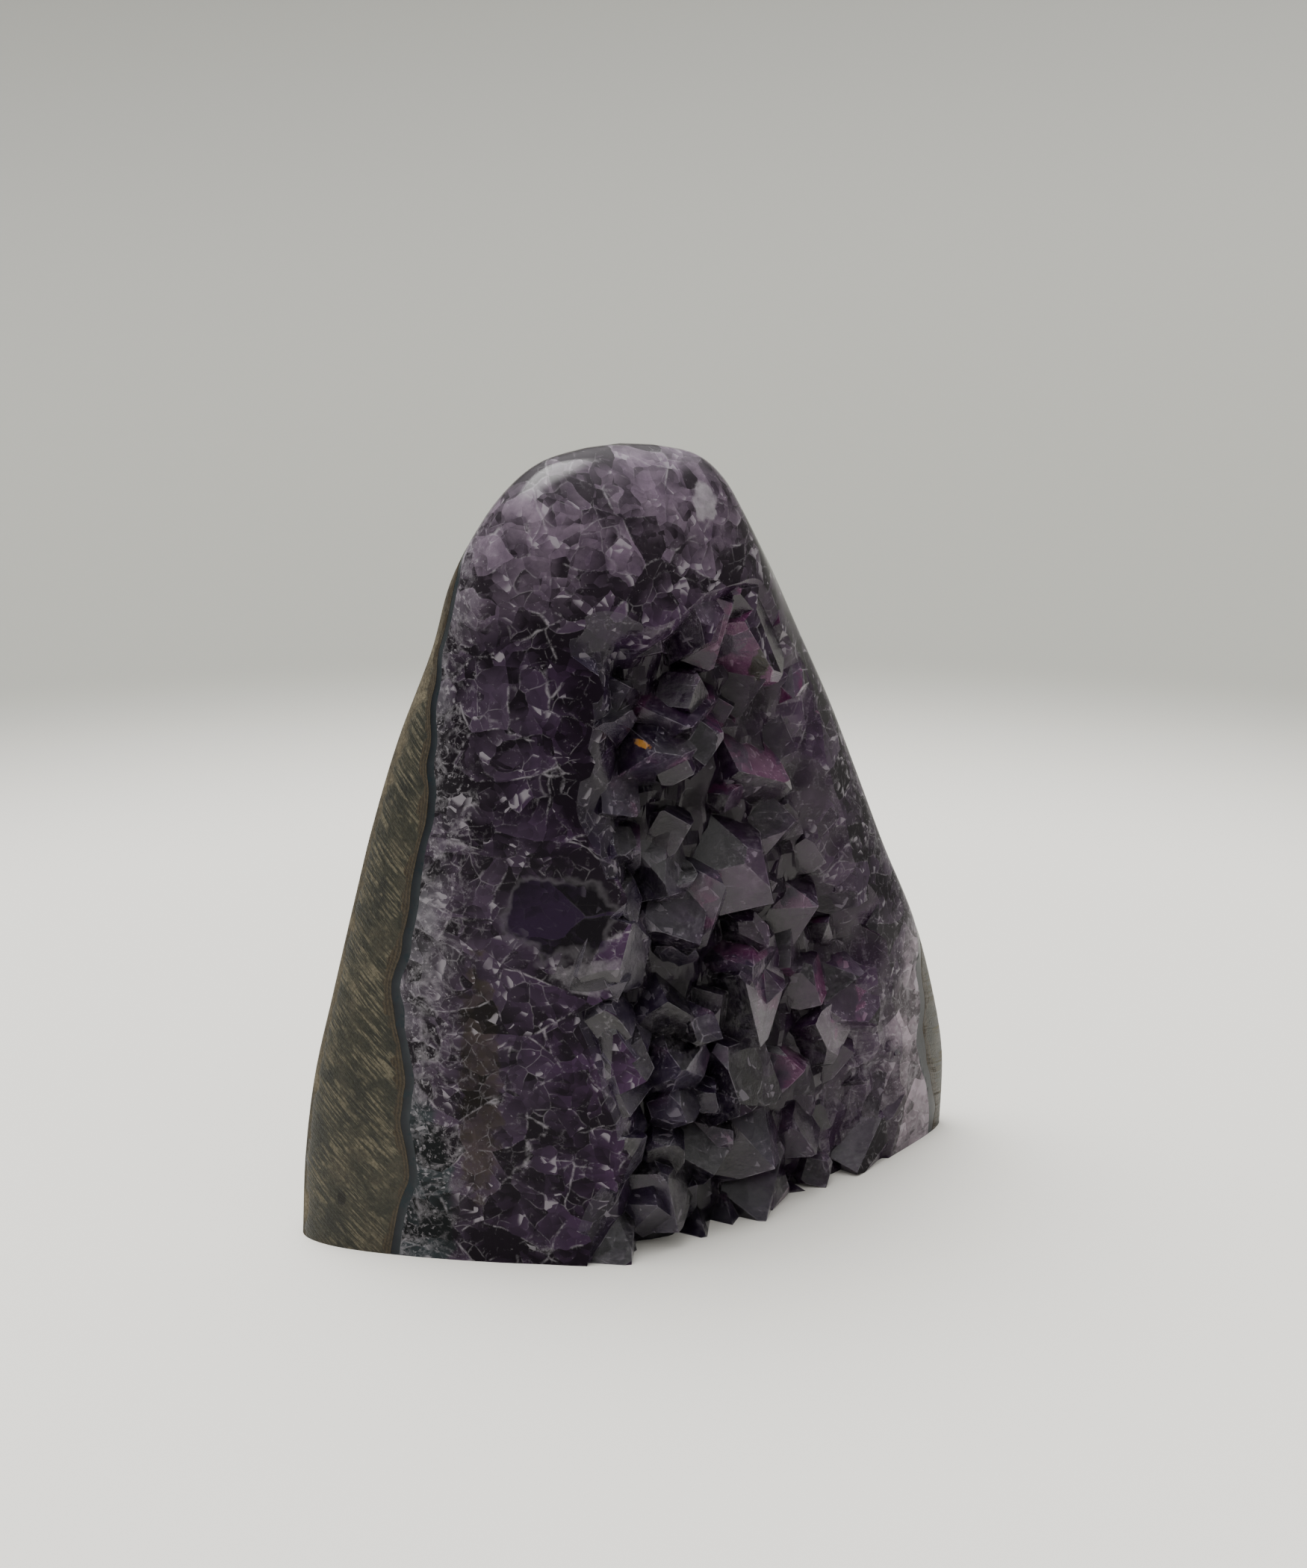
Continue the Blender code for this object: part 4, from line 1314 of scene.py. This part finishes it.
def grown_purple(tree, at, plate_tone_and_light):
    """Colour of the natural faces: grey ones low on the left, purple towards right and top.

    The tints are paler than the crystals look, since most of the light goes through them.
    Each facet is lighter or darker by its own number and by the plates. This is partly its own
    cloudiness and partly painted reflection, and the brightest purple facets flash a painted
    magenta highlight.
    """
    # Partly painted reflection: each facet's own number and the plates make it lighter or
    # darker.
    facet_tone_and_light = add(tree, "ShaderNodeMath", {0: plate_tone_and_light, 1: 0.4, 2: (at["facet"], "Fac")},
                operation="MULTIPLY_ADD")
    facet_tone_and_light = add(tree, "ShaderNodeMapRange", {"Value": facet_tone_and_light, "From Min": 0.15,
                                             "From Max": 1.2})
    grey = add(tree, "ShaderNodeMix",
               {0: facet_tone_and_light, 6: linear("#130b19"), 7: linear("#4f4160")}, data_type="RGBA")
    # The top stops paint a magenta highlight on the brightest purple facets.
    plum = add(tree, "ShaderNodeValToRGB", {"Fac": facet_tone_and_light}, stops=(
        (0.0, linear("#1c0b22")), (0.72, linear("#57335f")), (0.86, linear("#6a4470")),
        (0.9, linear("#8d3f7c")),
    ))
    leaning = at["clouds"]
    for axis, rate in (("X", 0.014), ("Z", 0.004)):
        leaning = add(tree, "ShaderNodeMath", {0: (at["point"], axis), 1: rate, 2: leaning},
                      operation="MULTIPLY_ADD")
    purple_share = add(tree, "ShaderNodeMapRange",
                       {"Value": leaning, "From Min": 0.5, "From Max": 0.92},
                       interpolation_type="SMOOTHSTEP")
    clear = add(tree, "ShaderNodeMix",
                {0: purple_share, 6: (grey, 2), 7: plum}, data_type="RGBA")
    return laid_over(tree, (clear, 2), (at["ochre_stain"], "#2f2712"),
                     (at["gold_speck"], "#b07a35"))


def amethyst_material(look):
    """Amethyst: glossy quartz, cloudy at its root and deep purple towards the tips.

    Healed cracks and grain edges scatter whitish light under the polish. The natural faces
    are glassy, each with a little etching of its own.
    """
    material, tree = empty_material("amethyst_quartz")
    mm = millimetres(tree)
    bent, grains = quartz_grain(tree, mm)
    at = {"bent": bent, "grains": grains}
    for name in ("growth", "natural", "facet", "sunk"):
        at[name] = add(tree, "ShaderNodeAttribute", attribute_name=name)
    for name, (size, detail, roughness) in QUARTZ_NOISES.items():
        at[name] = add(tree, "ShaderNodeTexNoise", {
            "Vector": bent if name in GRAIN_NOISES else mm, "Scale": 1.0 / size,
            "Detail": detail, "Roughness": roughness})
    for name, mark in QUARTZ_MARKS.items():
        at[name] = spot(tree, mm, *mark)
    at["near_root"] = add(tree, "ShaderNodeMapRange",
                          {"Value": (at["growth"], "Fac"), "From Min": 9.0, "From Max": 1.0},
                          interpolation_type="SMOOTHSTEP")
    at["point"] = add(tree, "ShaderNodeSeparateXYZ", {0: mm})
    at["facing"] = add(tree, "ShaderNodeNewGeometry")
    natural = (at["natural"], "Fac")

    # Cracks inside the grains show as tilted plates, paler or darker than their neighbours.
    # This is partly the cracks' own tone and partly painted light: a gradient across each plate,
    # as if its tilt caught the lamps.
    coarse = plates(tree, grains, COARSE_PLATE, 2.2)
    middle = plates(tree, bent, MIDDLE_PLATE, 2.0)
    fine = plates(tree, grains, FINE_PLATE, 1.6)
    plate_tone_and_light = add(tree, "ShaderNodeMath", {0: coarse, 1: 0.46}, operation="MULTIPLY")
    for level, weight in ((middle, 0.34), (fine, 0.2)):
        plate_tone_and_light = add(tree, "ShaderNodeMath", {0: level, 1: weight, 2: plate_tone_and_light},
                    operation="MULTIPLY_ADD")
    # Painted glints: where the middle and fine plates are both bright, the quartz is whitened as
    # if a plate caught the light.
    painted_sheen = add(tree, "ShaderNodeMath", {0: middle, 1: fine}, operation="MULTIPLY")
    painted_glint = add(tree, "ShaderNodeMapRange",
                {"Value": painted_sheen, "From Min": 0.7, "From Max": 1.1, "To Max": 0.5},
                interpolation_type="SMOOTHSTEP")
    white = add(tree, "ShaderNodeMath", {0: healed_cracks(tree, at), 1: painted_glint},
                operation="MAXIMUM")

    # The dark cell is calm inside a milky rim, with a veil of healed cracks below it.
    beyond = add(tree, "ShaderNodeMath", {0: 1.0, 1: at["dark_cell"]}, operation="SUBTRACT")
    veil = add(tree, "ShaderNodeMath", {0: at["healed_veil"], 1: at["flecks"]},
               operation="MULTIPLY")
    rim = at["dark_cell"]
    for operation, share in (
        ("MULTIPLY", beyond), ("MULTIPLY", 0.85), ("MAXIMUM", veil),
        ("MAXIMUM", at["dome_shard"]), ("MULTIPLY", at["flicker"]),
    ):
        rim = add(tree, "ShaderNodeMath", {0: rim, 1: share}, operation=operation)
    calm = add(tree, "ShaderNodeMapRange",
               {"Value": at["dark_cell"], "To Min": 1.0, "To Max": 0.12})
    wear = add(tree, "ShaderNodeMapRange", {"Value": natural, "To Min": 1.0, "To Max": 0.85})
    for operation, share in (
        ("MULTIPLY", calm), ("MAXIMUM", rim), ("MULTIPLY", wear),
        ("MAXIMUM", frost_and_edge_highlight(tree, at)),
    ):
        white = add(tree, "ShaderNodeMath", {0: white, 1: share}, operation=operation)

    # Painted shade: deep between the crystals, below the polish, the colour is darkened, since
    # hardly any light comes back there.
    painted_shade_below = add(tree, "ShaderNodeMapRange",
                      {"Value": (at["sunk"], "Fac"), "From Min": 1.8, "From Max": 8.0,
                       "To Min": 0.95, "To Max": 0.24}, interpolation_type="SMOOTHSTEP")
    grown = add(tree, "ShaderNodeMath", {0: natural, 1: 0.78}, operation="MULTIPLY")
    body = add(tree, "ShaderNodeMix",
               {0: grown, 6: polished_violet(tree, look, at, plate_tone_and_light),
                7: grown_purple(tree, at, plate_tone_and_light)}, data_type="RGBA")
    # The whitish colour carries the healed cracks and frost, and also the painted glints and
    # edge highlights.
    veiled_and_glinting = add(tree, "ShaderNodeMix",
                 {0: white, 6: (body, 2), 7: tuple(look.veil)}, data_type="RGBA")
    with_painted_shade = add(tree, "ShaderNodeVectorMath", {0: (veiled_and_glinting, 2), "Scale": painted_shade_below},
                 operation="SCALE")

    through = add(tree, "ShaderNodeMapRange",
                  {"Value": natural, "To Min": 0.05, "To Max": 0.7})
    scatter = add(tree, "ShaderNodeMath", {0: white, 1: at["gold_speck"]},
                  operation="MAXIMUM")
    solid = add(tree, "ShaderNodeMath", {0: 1.0, 1: scatter}, operation="SUBTRACT")
    through = add(tree, "ShaderNodeMath", {0: through, 1: solid}, operation="MULTIPLY")
    # The polish gleams most on the dome, which faces the light.
    upward = add(tree, "ShaderNodeSeparateXYZ", {0: (at["facing"], "Normal")})
    dome_gleam = add(tree, "ShaderNodeMapRange",
                     {"Value": (upward, "Z"), "From Min": 0.35, "From Max": 0.8,
                      "To Min": 0.03, "To Max": 0.8}, interpolation_type="SMOOTHSTEP")
    glaze = add(tree, "ShaderNodeMix", {0: natural, 2: dome_gleam, 3: 0.13})
    etching = add(tree, "ShaderNodeMapRange",
                  {"Value": (at["facet"], "Fac"), "From Min": 0.35, "To Min": 0.04,
                   "To Max": 0.2})
    rough = add(tree, "ShaderNodeMix", {0: natural, 2: 0.07, 3: etching})
    relief = add(tree, "ShaderNodeMath", {0: at["specks"], 1: 0.35, 2: middle},
                 operation="MULTIPLY_ADD")
    relief = add(tree, "ShaderNodeMath", {0: relief, 1: natural}, operation="MULTIPLY")
    bump = add(tree, "ShaderNodeBump",
               {"Height": relief, "Strength": 0.7, "Distance": 0.3 * MM})
    shader = add(tree, "ShaderNodeBsdfPrincipled",
                 {"Base Color": with_painted_shade, "Roughness": rough, "Normal": bump,
                  "IOR": 1.544, "Specular IOR Level": 0.02, "Transmission Weight": through,
                  "Coat Weight": glaze, "Coat Roughness": 0.08, "Coat IOR": 1.5})
    volume = add(tree, "ShaderNodeVolumeAbsorption",
                 {"Color": linear("#bf8cc2"), "Density": 110.0})
    add(tree, "ShaderNodeOutputMaterial", {"Surface": shader, "Volume": volume})
    return material


class AMETHYST_OT_crust(bpy.types.Operator):
    """Grow the quartz and amethyst crust, fused in one piece and cut to the polish"""

    bl_idname = "amethyst.crust"
    bl_label = "Amethyst crust"

    def execute(self, context):
        form = context.scene.amethyst_form
        crystals = context.scene.amethyst_crystals
        bed = crystal_bed(form, crystals)
        habits = crystal_habits(HABITS, crystals.seed)
        plan = plan_points(form.around)
        leading = leading_crystals(plan, crystals.seed + 1)
        polish = stone_form("polished_form", form.around, form.per_section,
                            lambda point, out: -hewn_chip(point, out))
        far = (-form.agate_thickness / 2.0 + form.lap) / MM
        space = contact_space("crystal_space", form.contact_step / MM, None, far)
        modifier = bed.modifiers.new("Crystal crust", "NODES")
        modifier.node_group = crust_tree()
        material = amethyst_material(context.scene.amethyst_look)
        set_inputs(modifier, {
            "Habits": helper_collection("habits", habits),
            "Leading crystals": helper_collection("leading", leading),
            "Polished form": polish,
            "Crystal space": space,
            "Lean": crystals.lean,
            **tier_sizes(crystals, "large", LARGE_SETBACK),
            **tier_sizes(crystals, "small", SMALL_SETBACK),
            "Seed": crystals.seed,
            "Finish": material,
        })
        piece = baked(bed, "amethyst_crust")
        discard(bed, polish, space, *habits, *leading)
        for name in ("habits", "leading"):
            bpy.data.collections.remove(bpy.data.collections[name])
        cleaned(piece, CRISP_CRYSTAL)
        mark_facets(piece, crystals.seed)
        store(piece, "growth", growth_at)
        store(piece, "sunk", lambda x, y, z: sunk_at(x, y, z, plan))
        settle(piece, material, "amethyst_crystals", "amethyst_crystals")
        return {"FINISHED"}


# -------------------------------------------------------------------------------- stage


def floor_material(look):
    """Matt white card: even and soft, with painted shade that darkens it where it runs away
    behind.
    """
    material, tree = empty_material("matt_card")
    place = add(tree, "ShaderNodeTexCoord")
    reach = add(tree, "ShaderNodeVectorMath", {0: (place, "Object")}, operation="LENGTH")
    # Painted shade: beyond 0.2 m from the middle the card darkens towards the far colour, fully
    # at 0.42 m.
    far = add(tree, "ShaderNodeMapRange",
              {"Value": (reach, "Value"), "From Min": 0.2, "From Max": 0.42},
              interpolation_type="SMOOTHSTEP")
    grain = add(tree, "ShaderNodeTexNoise",
                {"Vector": (place, "Object"), "Scale": 900.0, "Detail": 2.0})
    card_with_painted_falloff = add(tree, "ShaderNodeMix",
               {0: far, 6: tuple(look.floor), 7: tuple(look.far_floor_shade)}, data_type="RGBA")
    bump = add(tree, "ShaderNodeBump",
               {"Height": grain, "Strength": 0.1, "Distance": 0.1 * MM})
    shader = add(tree, "ShaderNodeBsdfPrincipled",
                 {"Base Color": (card_with_painted_falloff, 2), "Roughness": 0.6, "Normal": bump})
    add(tree, "ShaderNodeOutputMaterial", {"Surface": shader})
    return material


def round_sweep(name):
    """A round floor that curves up into a low wall on every side, so no edge shows."""
    profile = [(SWEEP_FLAT * step / SWEEP_FLAT_STEPS, 0.0)
               for step in range(1, SWEEP_FLAT_STEPS + 1)]
    for step in range(1, SWEEP_CURVE_STEPS + 1):
        angle = math.radians(90.0) * step / SWEEP_CURVE_STEPS
        profile.append((SWEEP_FLAT + SWEEP_CURVE * math.sin(angle),
                        SWEEP_CURVE * (1.0 - math.cos(angle))))
    bm = bmesh.new()
    rings = []
    for radius, height in profile:
        rings.append([
            bm.verts.new((radius * math.cos(turn), radius * math.sin(turn), height))
            for turn in (math.tau * side / SWEEP_SIDES for side in range(SWEEP_SIDES))
        ])
    bm.faces.new(rings[0])
    for inner, outer in zip(rings, rings[1:]):
        for side in range(SWEEP_SIDES):
            after = (side + 1) % SWEEP_SIDES
            bm.faces.new((inner[side], outer[side], outer[after], inner[after]))
    sweep = mesh_object(name, bm, 1.0)
    sweep.data.shade_smooth()
    return sweep


def studio_world():
    """A dim room with a soft light overhead, its wide glow and a weaker light on the left."""
    world = bpy.data.worlds.new("studio")
    world.use_nodes = True
    tree = world.node_tree
    tree.nodes.clear()
    towards = add(tree, "ShaderNodeTexCoord")
    light = None
    for direction, low, high, radiance in STUDIO_LIGHTS:
        aim = add(tree, "ShaderNodeVectorMath",
                  {0: (towards, "Generated"), 1: Vector(direction).normalized()},
                  operation="DOT_PRODUCT")
        lobe = add(tree, "ShaderNodeMapRange",
                   {"Value": (aim, "Value"), "From Min": low, "From Max": high,
                    "To Max": radiance}, interpolation_type="SMOOTHSTEP")
        light = lobe if light is None else add(tree, "ShaderNodeMath", {0: light, 1: lobe})
    strength = add(tree, "ShaderNodeMath", {0: light, 1: ROOM_RADIANCE})
    glow = add(tree, "ShaderNodeBackground",
               {"Color": linear(LIGHT_COLOUR), "Strength": strength})
    add(tree, "ShaderNodeOutputWorld", {"Surface": glow})
    return world


class AMETHYST_OT_stage(bpy.types.Operator):
    """Make the pale floor, the soft lights and the camera"""

    bl_idname = "amethyst.stage"
    bl_label = "Stage"

    def execute(self, context):
        scene = context.scene
        stage = scene.amethyst_stage
        floor = round_sweep("floor")
        floor.data.materials.append(floor_material(scene.amethyst_look))
        scene.world = studio_world()
        data = bpy.data.cameras.new("camera")
        data.lens = stage.camera_lens
        data.sensor_width = SENSOR_WIDTH
        data.clip_start = CLIP_START
        camera = linked("camera", data)
        camera.location = stage.camera_place
        camera.rotation_euler = (
            math.radians(90.0) - stage.camera_tilt, 0.0, -stage.camera_turn
        )
        scene.camera = camera
        return {"FINISHED"}


# --------------------------------------------------------------------------- panel, run


class AMETHYST_PT_panel(bpy.types.Panel):
    """Lists the pieces and their settings"""

    bl_idname = "AMETHYST_PT_panel"
    bl_label = "Cut-base amethyst"
    bl_space_type = "VIEW_3D"
    bl_region_type = "UI"
    bl_category = "Amethyst"

    def draw(self, context):
        layout = self.layout
        for operator in OPERATORS:
            layout.operator(operator.bl_idname)
        for name, group in SETTINGS.items():
            box = layout.box()
            for prop in group.__annotations__:
                box.prop(getattr(context.scene, name), prop)


SETTINGS = {
    "amethyst_form": AmethystFormSettings,
    "amethyst_crystals": AmethystCrystalSettings,
    "amethyst_look": AmethystLookSettings,
    "amethyst_stage": AmethystStageSettings,
}
OPERATORS = (
    AMETHYST_OT_stage,
    AMETHYST_OT_basalt,
    AMETHYST_OT_agate,
    AMETHYST_OT_crust,
)


def register():
    for group in SETTINGS.values():
        bpy.utils.register_class(group)
    for name, group in SETTINGS.items():
        setattr(bpy.types.Scene, name, bpy.props.PointerProperty(type=group))
    for operator in OPERATORS:
        bpy.utils.register_class(operator)
    bpy.utils.register_class(AMETHYST_PT_panel)


def unregister():
    bpy.utils.unregister_class(AMETHYST_PT_panel)
    for operator in reversed(OPERATORS):
        bpy.utils.unregister_class(operator)
    for name in SETTINGS:
        delattr(bpy.types.Scene, name)
    for group in reversed(tuple(SETTINGS.values())):
        bpy.utils.unregister_class(group)


def main():
    register()
    bpy.ops.amethyst.stage()
    bpy.ops.amethyst.basalt()
    bpy.ops.amethyst.agate()
    bpy.ops.amethyst.crust()


if __name__ == "__main__":
    main()
